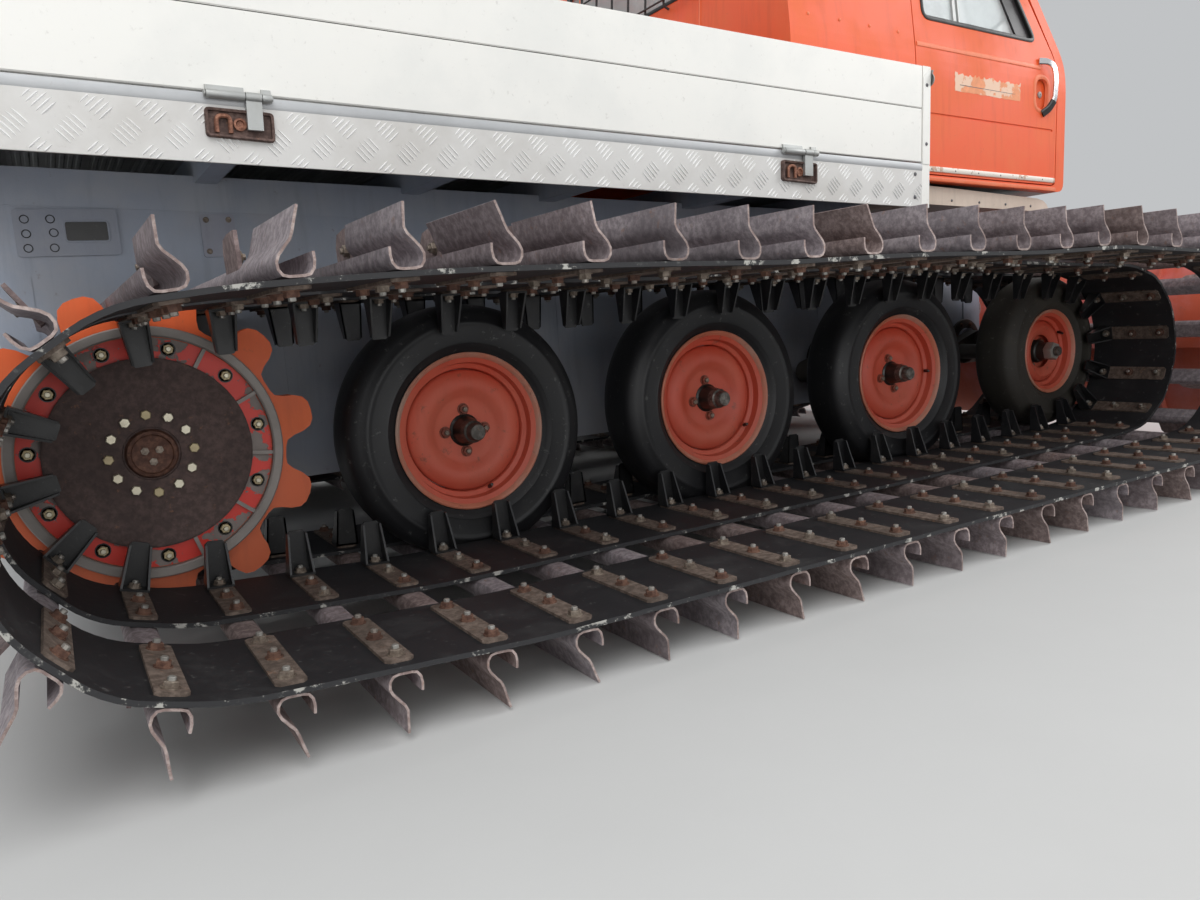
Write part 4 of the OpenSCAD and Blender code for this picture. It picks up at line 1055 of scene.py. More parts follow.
def add_moving_bed_hinge(piece, x, place):
    """Rolled tubes on the pin and the strap that joins them to the board."""
    ahead = place(1, 0, 0) - place(0, 0, 0)
    for start, end in ((x - 0.074, x + 0.012), (x + 0.052, x + 0.074)):
        length = end - start
        add_turned(piece, place(start, HINGE_OUT, HINGE_Z), ahead,
            [(0.006, 0), (0.0100, 0), (0.0105, 0.001), (0.0105, length - 0.001), (0.0100, length),
            (0.006, length)], "tab_grey", 24)
        section = [(HINGE_OUT - 0.012, HINGE_Z + 0.009), (HINGE_OUT - 0.004, HINGE_Z + 0.008),
            (HINGE_OUT - 0.007, HINGE_Z + 0.022), (BED_HALF - 0.001, HINGE_Z + 0.024),
            (BED_HALF - 0.001, HINGE_Z + 0.011)]
        add_prism(piece, section, turned_about(place, 2, 0, 1), start, end, "tab_grey")


def add_board(piece, x0, x1, place):
    """Two aluminium planks, one above the other, with a narrow groove between them and rounded edges."""
    outer, inner, c, groove = BED_HALF, BED_HALF - BOARD_THICK, 0.0028, 0.0011
    for low, high in ((BOARD_LOW, BOARD_SEAM - groove), (BOARD_SEAM + groove, BOARD_TOP)):
        section = [(inner + c, low), (outer - c, low), (outer, low + c), (outer, high - c),
            (outer - c, high), (inner + c, high), (inner, high - c), (inner, low + c)]
        add_prism(piece, section, turned_about(place, 2, 0, 1), x0, x1, "board")
    add_box(piece, (x0 + 0.002, inner + 0.004, BOARD_SEAM - 0.004),
        (x1 - 0.002, outer - 0.003, BOARD_SEAM + 0.004), "seal", lambda p: place(*p))
    for z in (BOARD_LOW + 0.060, BOARD_SEAM - 0.040, BOARD_SEAM + 0.050, BOARD_TOP - 0.035):
        section = [(inner + 0.001, z - 0.006), (inner - 0.0022, z - 0.004), (inner - 0.0022, z + 0.004),
            (inner + 0.001, z + 0.006)]
        add_prism(piece, section, turned_about(place, 2, 0, 1), x0 + 0.010, x1 - 0.010, "board")


def make_bed():
    skirt = Piece("skirt_plates")
    tread = Piece("skirt_tread")
    fixed = Piece("bed_hinge_brackets")
    plate = 0.006
    runs = [(BED_REAR, BED_FRONT, beside(-1), SIDE_HINGES), (BED_REAR, BED_FRONT, beside(1), SIDE_HINGES),
        (-BED_HALF + 0.001, BED_HALF - 0.001, behind, TAIL_HINGES)]
    for x0, x1, place, hinges in runs:
        inner, outer = BED_HALF - plate, BED_HALF
        section = [(inner, 0.0), (outer - 0.001, 0.0), (outer, 0.001), (outer, RAIL_LOW), (inner, RAIL_LOW)]
        add_prism(skirt, section, turned_about(place, 2, 0, 1), x0, x1, "chequer_flat")
        # The rail's dim grey is painted shade under the boards' bottom edge.
        rail = [(inner, RAIL_LOW), (outer, RAIL_LOW), (outer + 0.0012, RAIL_LOW + 0.003),
            (outer + 0.0022, RAIL_LOW + 0.009), (outer + 0.0015, SKIRT_TOP - 0.007),
            (outer - 0.001, SKIRT_TOP - 0.001), (outer - 0.003, SKIRT_TOP), (inner, SKIRT_TOP)]
        add_prism(skirt, rail, turned_about(place, 2, 0, 1), x0, x1, "rail")
        add_tread(tread, x0 + 0.004, x1 - 0.004, 0.004, RAIL_LOW - 0.003, place)
        for x in hinges:
            add_fixed_bed_hinge(fixed, x, place)
        out = place(0, 1, 0) - place(0, 0, 0)
        for x in (x0 + 0.036, x1 - 0.037):
            for z in (0.036, 0.119):
                add_rivet(skirt, place(x, BED_HALF, z), out, 0.0075, "rivet_dark")
    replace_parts(skirt.make(on_body=True), "bed_skirt")
    tread.make(on_body=True, smooth_angle=20)
    fixed.make(on_body=True, bevel=0.0012)
    for side_name, side in SIDES.items():
        board = Piece("drop_board_" + side_name, side_name + "_drop_side")
        add_board(board, BED_REAR + BED_POST + 0.004, BED_FRONT - 0.004, beside(side))
        for x in SIDE_HINGES:
            add_moving_bed_hinge(board, x, beside(side))
        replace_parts(board.make(on_body=True), "drop_side_" + side_name)
        make_post_fittings(side_name, side)
    tail = Piece("tail_board_planks", "tail_board")
    add_board(tail, -TAIL_HALF, TAIL_HALF, behind)
    for x in TAIL_HINGES:
        add_moving_bed_hinge(tail, x, behind)
    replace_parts(tail.make(on_body=True), "tailgate")


def make_post_fittings(side_name, side):
    """Riveted cover strip with its mitred top, the round latch in front, and the rear post's strip."""
    put = beside(side)
    out = (0, side, 0)
    fittings = Piece("post_fittings_" + side_name)
    front = BED_FRONT + 0.002
    for x0, x1, mid, low, top0, top1 in ((front, front + 0.039, front + 0.019, 0.158, POST_LOW, POST_TOP),
            (BED_REAR + 0.002, BED_REAR + 0.040, BED_REAR + 0.021, 0.170, POST_TOP, POST_LOW)):
        strip = [(x0, low), (x1, low), (x1, top1), (x0, top0)]
        add_prism(fittings, strip, turned_about(put, 0, 2, 1), BED_HALF - 0.001, BED_HALF + 0.0022, "board")
        for z in (0.231, 0.442):
            add_rivet(fittings, put(mid, BED_HALF + 0.002, z), out, 0.0070, "rivet_dark")
    latch = put(BED_FRONT + BED_POST, BED_HALF - 0.008, LATCH_Z)
    add_turned(fittings, latch, AHEAD, mm([(24, 0), (26, 2), (23, 6), (14, 8), (0, 9)]), "tab_grey", 30)
    bends = ((0.0, 0.0), (0.006, 0.020), (0.012, 0.034))
    handle = [put(BED_FRONT + BED_POST + 0.006, BED_HALF - 0.008 + d, LATCH_Z + h) for d, h in bends]
    add_sweep(fittings, handle, flat_section(0.012, 0.005), AHEAD, "tab_grey")
    fittings.make(on_body=True, bevel=0.0008)


# Cab, in the sloping body's own frame
CAB_REAR, CAB_FRONT, CAB_HALF = 1.290, 2.862, 0.962
CAB_LOW, BELT_LINE, LEAN_FROM, ROOF_Z = 0.112, 0.650, 0.560, 1.420
ROOF_FRONT, ROOF_HALF = 2.400, 0.850
SIDE_LEAN = (CAB_HALF - ROOF_HALF) / (ROOF_Z - LEAN_FROM)
PILLAR_SLOPE = (CAB_FRONT - ROOF_FRONT) / (ROOF_Z - BELT_LINE)
DOOR_REAR, DOOR_FRONT = 1.915, 2.804
WINDOW_LOW, WINDOW_TOP, WINDOW_FRONT = 0.713, 1.272, 2.678
WINDOW_REAR = DOOR_REAR + 0.058
WINDOW = [(WINDOW_REAR, WINDOW_LOW), (WINDOW_FRONT, WINDOW_LOW),
    (WINDOW_FRONT - PILLAR_SLOPE * (WINDOW_TOP - WINDOW_LOW), WINDOW_TOP), (WINDOW_REAR, WINDOW_TOP)]
REAR_SIDE_WINDOW = [(1.400, 0.763), (1.825, 0.763), (1.825, WINDOW_TOP), (1.410, WINDOW_TOP)]
GLASS_DEPTH = 0.024
HEAD_LAMP_Y, HEAD_LAMP_Z, LAMP_SCREW_OUT = 0.700, 0.390, 0.062 * 1.35
SEAL = mm([(-12, -12), (-12, 1), (-8, 4), (-1, 4), (4, 2), (4, -1), (-2, -12)])


def cab_half_at(z):
    """Half width over the cab's sides, which lean in above the door's crease."""
    return CAB_HALF - max(z - LEAN_FROM, 0) * SIDE_LEAN


def on_cab_side(side):
    """Place on the cab's side: along the body, height, distance out of the skin."""
    def place(x, z, rise):
        return Vector((x, side * (cab_half_at(z) + rise), z))
    return place


def on_screen(u, v, rise):
    """Place on the windscreen: lateral, up the slope from its middle, distance out of it."""
    slope = Vector((ROOF_FRONT - CAB_FRONT, 0, ROOF_Z - BELT_LINE)).normalized()
    out = Vector((slope.z, 0, -slope.x))
    middle = Vector(((CAB_FRONT + ROOF_FRONT) / 2, 0, (BELT_LINE + ROOF_Z) / 2))
    return middle + slope * v + out * rise + Vector((0, u, 0))


def on_cab_back(y, z, rise):
    return Vector((CAB_REAR + max(z - 0.700, 0) / 24 - rise, y, z))


def ragged_patch(x0, x1, z0, z1):
    """Outline of a patch where the paint has gone, torn along its four edges."""
    corners = rect(x0, x1, z0, z1)
    outline = []
    for (ax, az), (bx, bz) in zip(corners, corners[1:] + corners[:1]):
        steps = max(4, round(math.hypot(bx - ax, bz - az) / 0.011))
        for k in range(steps):
            t = k / steps
            torn = 0.015 if az > z0 and bz > z0 else 0.003
            outline.append((ax + (bx - ax) * t + rng.uniform(-0.003, 0.003),
                az + (bz - az) * t - rng.uniform(0, torn)))
    return outline


def make_door_fittings(side_name, side):
    """Everything on a door: window seal and bars, handle, trim strip, crease and inner panel."""
    door = side_name + "_door"
    put = on_cab_side(side)
    out = Vector((0, side, 0))
    fittings = Piece("door_fittings_" + side_name, door)
    add_band(fittings, rounded_loop(WINDOW, [0.040, 0.050, 0.060, 0.040]), SEAL, put, "seal")
    depth = -GLASS_DEPTH
    foot, head = WINDOW_FRONT, WINDOW_FRONT - PILLAR_SLOPE * (WINDOW_TOP - WINDOW_LOW)
    # A dark band inside the window along its front edge: painted shade in the window's front corner.
    shade = [(foot - 0.105, WINDOW_LOW - 0.004), (foot + 0.004, WINDOW_LOW - 0.004),
        (head + 0.004, WINDOW_TOP), (head - 0.080, WINDOW_TOP)]
    add_prism(fittings, shade, put, depth + 0.004, depth + 0.013, "window_frame")
    for x, width in ((2.180, 0.016), (2.206, 0.007)):
        add_prism(fittings, rect(x - width / 2, x + width / 2, WINDOW_LOW, WINDOW_TOP), put, depth + 0.002,
            depth + 0.012, "pale_bar")
    ledge = rect(WINDOW_REAR, foot - 0.1, WINDOW_LOW + 0.006, WINDOW_LOW + 0.020)
    add_prism(fittings, ledge, put, depth + 0.002, depth + 0.013, "window_frame")
    strip = mm([(147.5, -1), (148, 3.5), (151, 5.5), (164, 5.5), (167.5, 3.5), (168, -1)])
    add_prism(fittings, strip, turned_about(put, 2, 0, 1), DOOR_REAR + 0.052, DOOR_FRONT - 0.012, "trim")
    for k in range(6):
        add_rivet(fittings, put(DOOR_REAR + 0.090 + k * 0.140, 0.1565, 0.005), out, 0.0034, "rivet_dark")
    # The crease strip takes the lighter orange: a painted highlight along the crease.
    crease = mm([(601, -2), (604, 2.2), (612, 3.6), (619, 2), (623, -2)])
    add_prism(fittings, crease, turned_about(put, 2, 0, 1), DOOR_REAR + 0.012, 2.690, "orange_edge")
    add_prism(fittings, ragged_patch(2.140, 2.548, 0.462, 0.534), put, -0.001, 0.0006, "patch")
    line = mm([(2170, 484), (2500, 484), (2520, 485.5), (2170, 486.5)])
    add_prism(fittings, line, put, 0.0004, 0.0010, "rivet_dark")
    make_door_handle(side_name, side, door)
    fittings.make(on_body=True)
    inner = Piece("door_lining_" + side_name, door)
    skin = -0.0425
    lining = rounded_loop([(DOOR_REAR + 0.050, 0.180), (DOOR_FRONT - 0.060, 0.180),
        (DOOR_FRONT - 0.060, 0.600), (DOOR_FRONT - 0.100, 0.680), (DOOR_REAR + 0.050, 0.680)],
        [0.03] * 5, 4)
    add_prism(inner, lining, put, skin - 0.006, skin, "lining")
    pocket = rounded_rect(2.050, 2.560, 0.210, 0.360, 0.03, 4)
    add_band(inner, pocket, [(-0.012, skin - 0.006), (-0.012, skin - 0.020), (0.0, skin - 0.024),
        (0.010, skin - 0.018), (0.012, skin - 0.006)], put, "plastic")
    rest = smooth_path([put(2.200, 0.520, skin - 0.004), put(2.205, 0.525, skin - 0.045),
        put(2.500, 0.525, skin - 0.045), put(2.505, 0.520, skin - 0.004)], 0.025)
    add_sweep(inner, rest, round_section(0.013, 12), UP, "plastic")
    inner.make(on_body=True)


def make_door_handle(side_name, side, door):
    """A bright pull bar at the door's front edge, standing over its hand recess, with black ends."""
    put = on_cab_side(side)
    handle = Piece("door_handle_" + side_name, door)
    path = smooth_path([put(2.678, 0.636, 0.004), put(2.712, 0.634, 0.024), put(2.742, 0.616, 0.030),
        put(2.742, 0.560, 0.032), put(2.738, 0.480, 0.030), put(2.722, 0.446, 0.020),
        put(2.704, 0.430, 0.002)], 0.018, 4)
    add_sweep(handle, path, flat_section(0.026, 0.011), (0, side, 0), "chrome")
    foot = smooth_path([put(2.734, 0.474, 0.029), put(2.720, 0.444, 0.018), put(2.698, 0.424, 0.001)],
        0.012, 4)
    add_sweep(handle, foot, flat_section(0.031, 0.015), (0, side, 0), "plastic")
    rim = rounded_rect(2.652, 2.738, 0.440, 0.568, 0.042, 6)
    add_band(handle, rim, mm([(-5, -12), (-3, 0.3), (4, 2.4), (12, 2), (16, -1)]), put, "orange_edge")
    add_turned(handle, put(2.700, 0.505, -0.016), (0, side, 0),
        mm([(13, 0), (13, 4), (9, 6), (3, 6), (3, 4), (0, 4)]), "tab_grey", 20)
    handle.make(on_body=True)


def make_cab_fittings():
    """Seals of the fixed windows, roof gutters, wipers, sill, lamps' bezels and the rear guard."""
    seals = Piece("window_seals")
    guard = Piece("window_guard")
    gutters = Piece("roof_gutters")
    sill = Piece("cab_sill")
    for side in SIDES.values():
        put = on_cab_side(side)
        add_band(seals, rounded_loop(REAR_SIDE_WINDOW, [0.012] * 4), SEAL, put, "seal")
        gutter = mm([(1338, -4), (1338, 10), (1342, 12), (1352, 12), (1352, 7), (1346, 5), (1346, -4)])
        add_prism(gutters, gutter, turned_about(put, 2, 0, 1), CAB_REAR + 0.090, 2.400, "orange_edge")
        lip = [(CAB_LOW + 0.003, -0.001), (CAB_LOW + 0.002, 0.003), (CAB_LOW + 0.008, 0.004),
            (CAB_LOW + 0.016, 0.003), (CAB_LOW + 0.017, -0.001)]
        add_prism(sill, lip, turned_about(put, 2, 0, 1), CAB_REAR + 0.030, CAB_FRONT - 0.060, "orange_edge")
        for k in range(4):
            for z in (0.180, 0.640):
                add_rivet(sill, put(CAB_REAR + 0.090 + k * 0.150, z, 0), (0, side, 0), 0.006, "orange_edge")
    screen = rounded_rect(-0.760, 0.760, -0.364, 0.364, 0.012)
    add_band(seals, screen, SEAL, on_screen, "seal")
    back = rounded_rect(-0.560, 0.560, 0.875, 1.252, 0.012)
    add_band(seals, back, SEAL, on_cab_back, "seal")
    for k in range(9):
        y = -0.520 + k * 0.130
        bar = [on_cab_back(y, *p) for p in ((0.852, 0.004), (0.862, 0.030), (1.265, 0.030), (1.275, 0.004))]
        add_sweep(guard, smooth_path(bar, 0.012, 3), round_section(0.005, 8), LATERAL, "dark")
    for z in (0.882, 1.062, 1.245):
        add_sweep(guard, [on_cab_back(-0.545, z, 0.037), on_cab_back(0.545, z, 0.037)],
            round_section(0.004, 8), AHEAD, "dark")
    for y in (-0.460, 0.460):
        seam = [(y - 0.003, 0.170), (y + 0.003, 0.170), (y + 0.003, 0.700), (y + 0.003, 1.300),
            (y - 0.003, 1.300), (y - 0.003, 0.700)]
        add_prism(sill, seam, on_cab_back, -0.001, 0.0022, "orange_edge")
    seals.make(on_body=True)
    guard.make(on_body=True)
    gutters.make(on_body=True)
    sill.make(on_body=True)
    wipers = Piece("wipers")
    lean = 0.10
    for y in (-0.330, 0.330):
        base = on_screen(y, -0.395, 0.002)
        out = on_screen(0, 0, 1) - on_screen(0, 0, 0)
        add_turned(wipers, base, out, mm([(22, 0), (22, 10), (14, 20), (8, 34), (0, 35)]), "plastic", 20)
        tip = on_screen(y + lean, -0.020, 0.020)
        add_sweep(wipers, smooth_path([on_screen(y, -0.395, 0.028),
            on_screen(y + lean * 0.3, -0.300, 0.034), tip], 0.04), flat_section(0.012, 0.005), tuple(out),
            "plastic")
        add_sweep(wipers, [on_screen(y + lean - 0.07, -0.240, 0.016),
            on_screen(y + lean + 0.01, 0.000, 0.017), on_screen(y + lean + 0.06, 0.220, 0.016)],
            flat_section(0.010, 0.012), tuple(out), "seal")
    wipers.make(on_body=True)
    make_cab_front()
    make_roof()


def make_cab_front():
    """Lamps with chrome rings and ribbed lenses, a slatted grille, and rivets on the cab's front."""
    lamps = Piece("head_lamps_detailed")
    for y in (-HEAD_LAMP_Y, HEAD_LAMP_Y):
        at = (CAB_FRONT, y, HEAD_LAMP_Z)
        add_turned(lamps, at, AHEAD, mm([(85, 0.5), (85, 30), (82, 37), (74, 40), (70, 36), (70, 22),
            (60, 6), (0, 4)]), "chrome", 48)
        lens = [(0.070 * math.cos(a), 0.022 + 0.017 * math.sin(a))
            for a in [math.pi / 2 * k / 6 for k in range(7)]]
        add_turned(lamps, at, AHEAD, [(0.0, 0.021)] + lens, "lamp", 40)
        for k in range(-4, 5):
            half = math.sqrt(max(0.062 ** 2 - (k * 0.013) ** 2, 0))
            add_box(lamps, (CAB_FRONT + 0.031, y + k * 0.013 - 0.001, HEAD_LAMP_Z - half),
                (CAB_FRONT + 0.036, y + k * 0.013 + 0.001, HEAD_LAMP_Z + half), "lamp")
        for dz in (1, -1):
            for dy in (1, -1):
                spot = (CAB_FRONT, y + dy * LAMP_SCREW_OUT, HEAD_LAMP_Z + dz * LAMP_SCREW_OUT)
                add_rivet(lamps, spot, AHEAD, 0.006, "rivet_dark")
    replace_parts(lamps.make(on_body=True), "head_lamps")
    grille = Piece("front_grille")
    frame_loop = rounded_rect(-0.480, 0.480, 0.300, 0.500, 0.03)
    front = on_end(CAB_FRONT)
    # A dark sheet behind the slats: painted shade of the grille's opening.
    add_prism(grille, frame_loop, front, 0.0004, 0.002, "dark")
    add_band(grille, frame_loop, mm([(-12, 1), (-10, 10), (0, 13), (8, 8), (8, 0.3)]), front, "orange_edge")
    for k in range(9):
        z = 0.318 + k * 0.0205
        slat = [(z, 0.002), (z + 0.014, 0.010), (z + 0.0155, 0.009), (z + 0.0035, 0.002)]
        add_prism(grille, slat, turned_about(front, 2, 0, 1), -0.474, 0.474, "dark")
    for y in (-0.900, -0.500, 0.500, 0.900):
        for z in (0.150, 0.600):
            add_rivet(grille, front(y, z, 0), AHEAD, 0.006, "orange_edge")
    grille.make(on_body=True)


def make_roof():
    """Raised roof hatch, its hinges, ribs across the roof, and the beacon on its base."""
    roof = Piece("roof_hatch")
    top = on_level(ROOF_Z)
    hatch = rounded_rect(1.880, 2.260, -0.300, 0.300, 0.05)
    add_prism(roof, hatch, top, -0.001, 0.018, "orange")
    add_band(roof, hatch, mm([(0, 0), (0, 10), (6, 13), (14, 8), (14, 0)]), top, "seal")
    for y in (-0.180, 0.180):
        add_box(roof, (1.862, y - 0.030, ROOF_Z - 0.001), (1.905, y + 0.030, ROOF_Z + 0.022), "tab_grey")
    for x in (1.500, 1.620, 2.340):
        add_prism(roof, mm([(-600, 0), (600, 0), (596, 4), (-596, 4)]),
            turned_about(on_level(ROOF_Z - 0.001), 2, 0, 1), x - 0.012, x + 0.012, "orange_edge")
    roof.make(on_body=True, bevel=0.002)
    beacon = Piece("beacon_detailed")
    base = (1.700, 0, ROOF_Z)
    add_turned(beacon, base, UP, mm([(0, 0.4), (65, 0.4), (65, 14), (60, 20), (54, 21), (0, 21)]),
        "plastic", 40)
    dome = [(0.055, 0.020)]
    for k in range(9):
        dome += [(0.0550 - 0.0008 * k, 0.026 + 0.0085 * k), (0.0535 - 0.0008 * k, 0.030 + 0.0085 * k)]
    dome += mm([(44, 108), (36, 120), (20, 127), (0, 129)])
    add_turned(beacon, base, UP, dome, "amber_lens", 40)
    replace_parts(beacon.make(on_body=True, smooth_angle=60), "beacon")


# Mirrors on the windscreen pillars
MIRROR_ARM_X, MIRROR_ARM_Z = 2.622, 1.010
MIRROR_FACE = 2.712


def make_mirrors():
    """An arm from the pillar, a shell that is open to the rear, and the glass inside its rim."""
    mirrors = Piece("mirrors_detailed")
    for side in SIDES.values():
        put = beside(side)
        foot = cab_half_at(MIRROR_ARM_Z)
        arm = smooth_path([put(MIRROR_ARM_X, foot - 0.004, MIRROR_ARM_Z),
            put(MIRROR_ARM_X, 0.985, MIRROR_ARM_Z), put(2.735, 1.010, MIRROR_ARM_Z),
            put(2.735, 1.046, MIRROR_ARM_Z)], 0.03, 6)
        add_sweep(mirrors, arm, round_section(0.0095, 12), UP, "plastic")
        add_turned(mirrors, put(MIRROR_ARM_X, foot - 0.002, MIRROR_ARM_Z), (0, side, 0),
            mm([(24, 0), (24, 5), (14, 12), (0, 13)]), "plastic", 20)
        head = rounded_rect(1.032, 1.202, 0.890, 1.190, 0.04)
        face = on_end(MIRROR_FACE, 1, side)
        add_band(mirrors, head, mm([(-8, -1), (-1, -1), (0, 2), (0, 16), (-10, 32), (-30, 42), (-30, 38),
            (-12, 26)]), face, "plastic")
        inner = drawn_in(head, 0.004)
        add_prism(mirrors, inner, face, 0.002, 0.005, "mirror")
        back = drawn_in(head, 0.026)
        add_prism(mirrors, back, face, 0.036, 0.043, "plastic")
        add_box(mirrors, (2.722, 1.020, 0.985), (2.748, 1.040, 1.035), "dark", lambda p: put(*p))
    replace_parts(mirrors.make(on_body=True, bevel=0.0015), "mirrors")


def make_side_covers():
    """Grey covers under the doors, rounded towards the front."""
    covers = Piece("side_covers")
    for side in SIDES.values():
        low, x0, x1 = 0.030, 1.937, 2.802
        section = [(x0, low), (x1, low), (x1, 0.046), (x1 - 0.012, 0.062), (x1 - 0.036, 0.076),
            (x1 - 0.080, 0.084), (x0 + 0.30, 0.096), (x0 + 0.014, 0.102), (x0, 0.098)]
        put = on_side(side)
        add_prism(covers, section, put, 0.510, 0.934, "cover_grey")
        for k in range(5):
            add_rivet(covers, (x0 + 0.060 + k * 0.170, side * 0.934, 0.050), (0, side, 0), 0.006,
                "rivet_dark")
    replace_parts(covers.make(on_body=True, bevel=0.003), "side_boxes")


# Engine cover and exhaust behind the cab
COVER_REAR, COVER_FRONT, COVER_HALF, COVER_TOP = 0.690, 1.278, 0.500, 0.680


def make_engine_fittings():
    """Framed louvres, rear grille and bolts on the cover; seal, ribs, handle and rivets on the lid."""
    fittings = Piece("engine_cover_fittings")
    for side in SIDES.values():
        put = on_side(side, COVER_HALF)
        for x0, x1 in ((0.780, 0.970), (1.010, 1.200)):
            loop = rounded_rect(x0, x1, 0.220, 0.500, 0.012, 3)
            # A dark sheet behind the louvres: painted shade of the openings.
            add_prism(fittings, loop, put, 0.0004, 0.0015, "dark")
            add_band(fittings, loop, mm([(-6, 1), (-4, 6), (3, 7), (6, 0.3)]), put, "orange_edge")
            for k in range(9):
                z = 0.235 + k * 0.028
                slat = [(z, 0.001), (z + 0.020, 0.011), (z + 0.022, 0.010), (z + 0.004, 0.001)]
                add_prism(fittings, slat, turned_about(put, 2, 0, 1), x0 + 0.006, x1 - 0.006, "orange")
        for x in (0.720, 1.250):
            for z in (0.180, 0.300, 0.420):
                add_bolt(fittings, put(x, z, 0), (0, side, 0), 0.008, "tab_grey")

    def back(y, z, rise):
        return Vector((COVER_REAR + max(z - 0.160, 0) / 28 - rise, y, z))

    loop = rounded_rect(-0.380, 0.380, 0.220, 0.420, 0.015, 3)
    # A dark sheet behind the wires: painted shade of the grille's opening.
    add_prism(fittings, loop, back, 0.0008, 0.003, "dark")
    add_band(fittings, loop, mm([(-8, 1), (-6, 9), (3, 10), (8, 0.3)]), back, "orange_edge")
    for k in range(25):
        y = -0.366 + k * 0.0305
        add_sweep(fittings, [back(y, 0.226, 0.006), back(y, 0.414, 0.006)], round_section(0.0028, 6),
            LATERAL, "tab_grey")
    for k in range(6):
        z = 0.242 + k * 0.032
        add_sweep(fittings, [back(-0.374, z, 0.0075), back(0.374, z, 0.0075)], round_section(0.0026, 6),
            AHEAD, "tab_grey")
    fittings.make(on_body=True)
    lid = Piece("engine_lid_fittings", "lid")
    over = on_level(COVER_TOP + 0.009)
    lid_loop = rounded_rect(0.864, 1.228, -0.456, 0.456, 0.02, 4)
    add_band(lid, lid_loop, mm([(-10, -1), (-8, 2.5), (0, 3), (3, -1), (3, -8), (0, -7.5)]), over,
        "orange_edge")
    for y in (-0.200, 0.0, 0.200):
        rib = [(y - 0.020, -0.001), (y - 0.012, 0.005), (y + 0.012, 0.005), (y + 0.020, -0.001)]
        add_prism(lid, rib, turned_about(over, 2, 0, 1), 0.900, 1.180, "orange")
    grip = smooth_path([over(0.885, *p) for p in ((-0.060, -0.001), (-0.060, 0.034), (0.060, 0.034),
        (0.060, -0.001))], 0.018)
    add_sweep(lid, grip, round_section(0.0065, 12), AHEAD, "plastic")
    for y in (-0.320, 0.320):
        for x in (1.178, 1.200):
            add_rivet(lid, over(x, y, 0.004), UP, 0.0055, "tab_grey")
    lid.make(on_body=True)


def make_exhaust():
    """Muffler with end seams and straps, a slotted guard round it, and a tail pipe with its rain flap."""
    stack = Piece("exhaust_detailed")
    at = Vector((COVER_FRONT - 0.090, COVER_HALF + 0.070, SKIRT_TOP))
    add_turned(stack, at, UP, mm([(0, 0.4), (56, 0.4), (60, 6), (60, 12), (54, 16), (54, 610), (59, 614),
        (60, 622), (55, 632), (36, 640), (0, 640)]), "exhaust", 48)
    for z in (0.090, 0.440):
        add_turned(stack, at, UP, [(0.053, z), (0.0575, z + 0.001), (0.0575, z + 0.023),
            (0.053, z + 0.024)], "tab_grey", 48)
        add_box(stack, (at.x - 0.012, COVER_HALF - 0.001, SKIRT_TOP + z + 0.002),
            (at.x + 0.012, COVER_HALF + 0.018, SKIRT_TOP + z + 0.022), "tab_grey")
    for k in range(16):
        a = 2 * math.pi * k / 16
        way = Vector((math.cos(a), math.sin(a), 0))
        across = Vector((-way.y, way.x, 0))
        points = [at + way * r + across * s + Vector((0, 0, z)) for r in (0.0565, 0.0595)
            for s in (-0.006, 0.006) for z in (0.120, 0.530)]
        stack.add(points, BOX_FACES, "grip")
    for z in (0.118, 0.255, 0.390, 0.520):
        add_turned(stack, at, UP, rect(0.0540, 0.0600, z, z + 0.012), "grip", 48)
    add_turned(stack, at, UP, mm([(30, 636), (30, 650), (32, 652), (32, 672), (29, 674), (28, 930),
        (32, 934), (32, 962), (29, 962), (26, 930)]), "exhaust", 36)
    hinge = at + Vector((-0.028, 0, 0.960))
    lid = round_section(0.030, 20)
    add_prism(stack, lid, lambda u, v, w: hinge + Vector((0.029 + u, v, w + 0.002)), 0, 0.0025, "grip")
    add_box(stack, tuple(hinge + Vector((-0.006, -0.012, -0.010))),
        tuple(hinge + Vector((0.006, 0.012, 0.006))), "grip")
    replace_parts(stack.make(on_body=True), "exhaust_stack")


# Hull
HULL_HALF = 0.470
HULL_TAIL, HULL_NOSE = -1.090, 2.960
BELLY = 0.300


def hull_top(x):
    return DECK_Z - 0.040 - x * math.tan(RAKE)


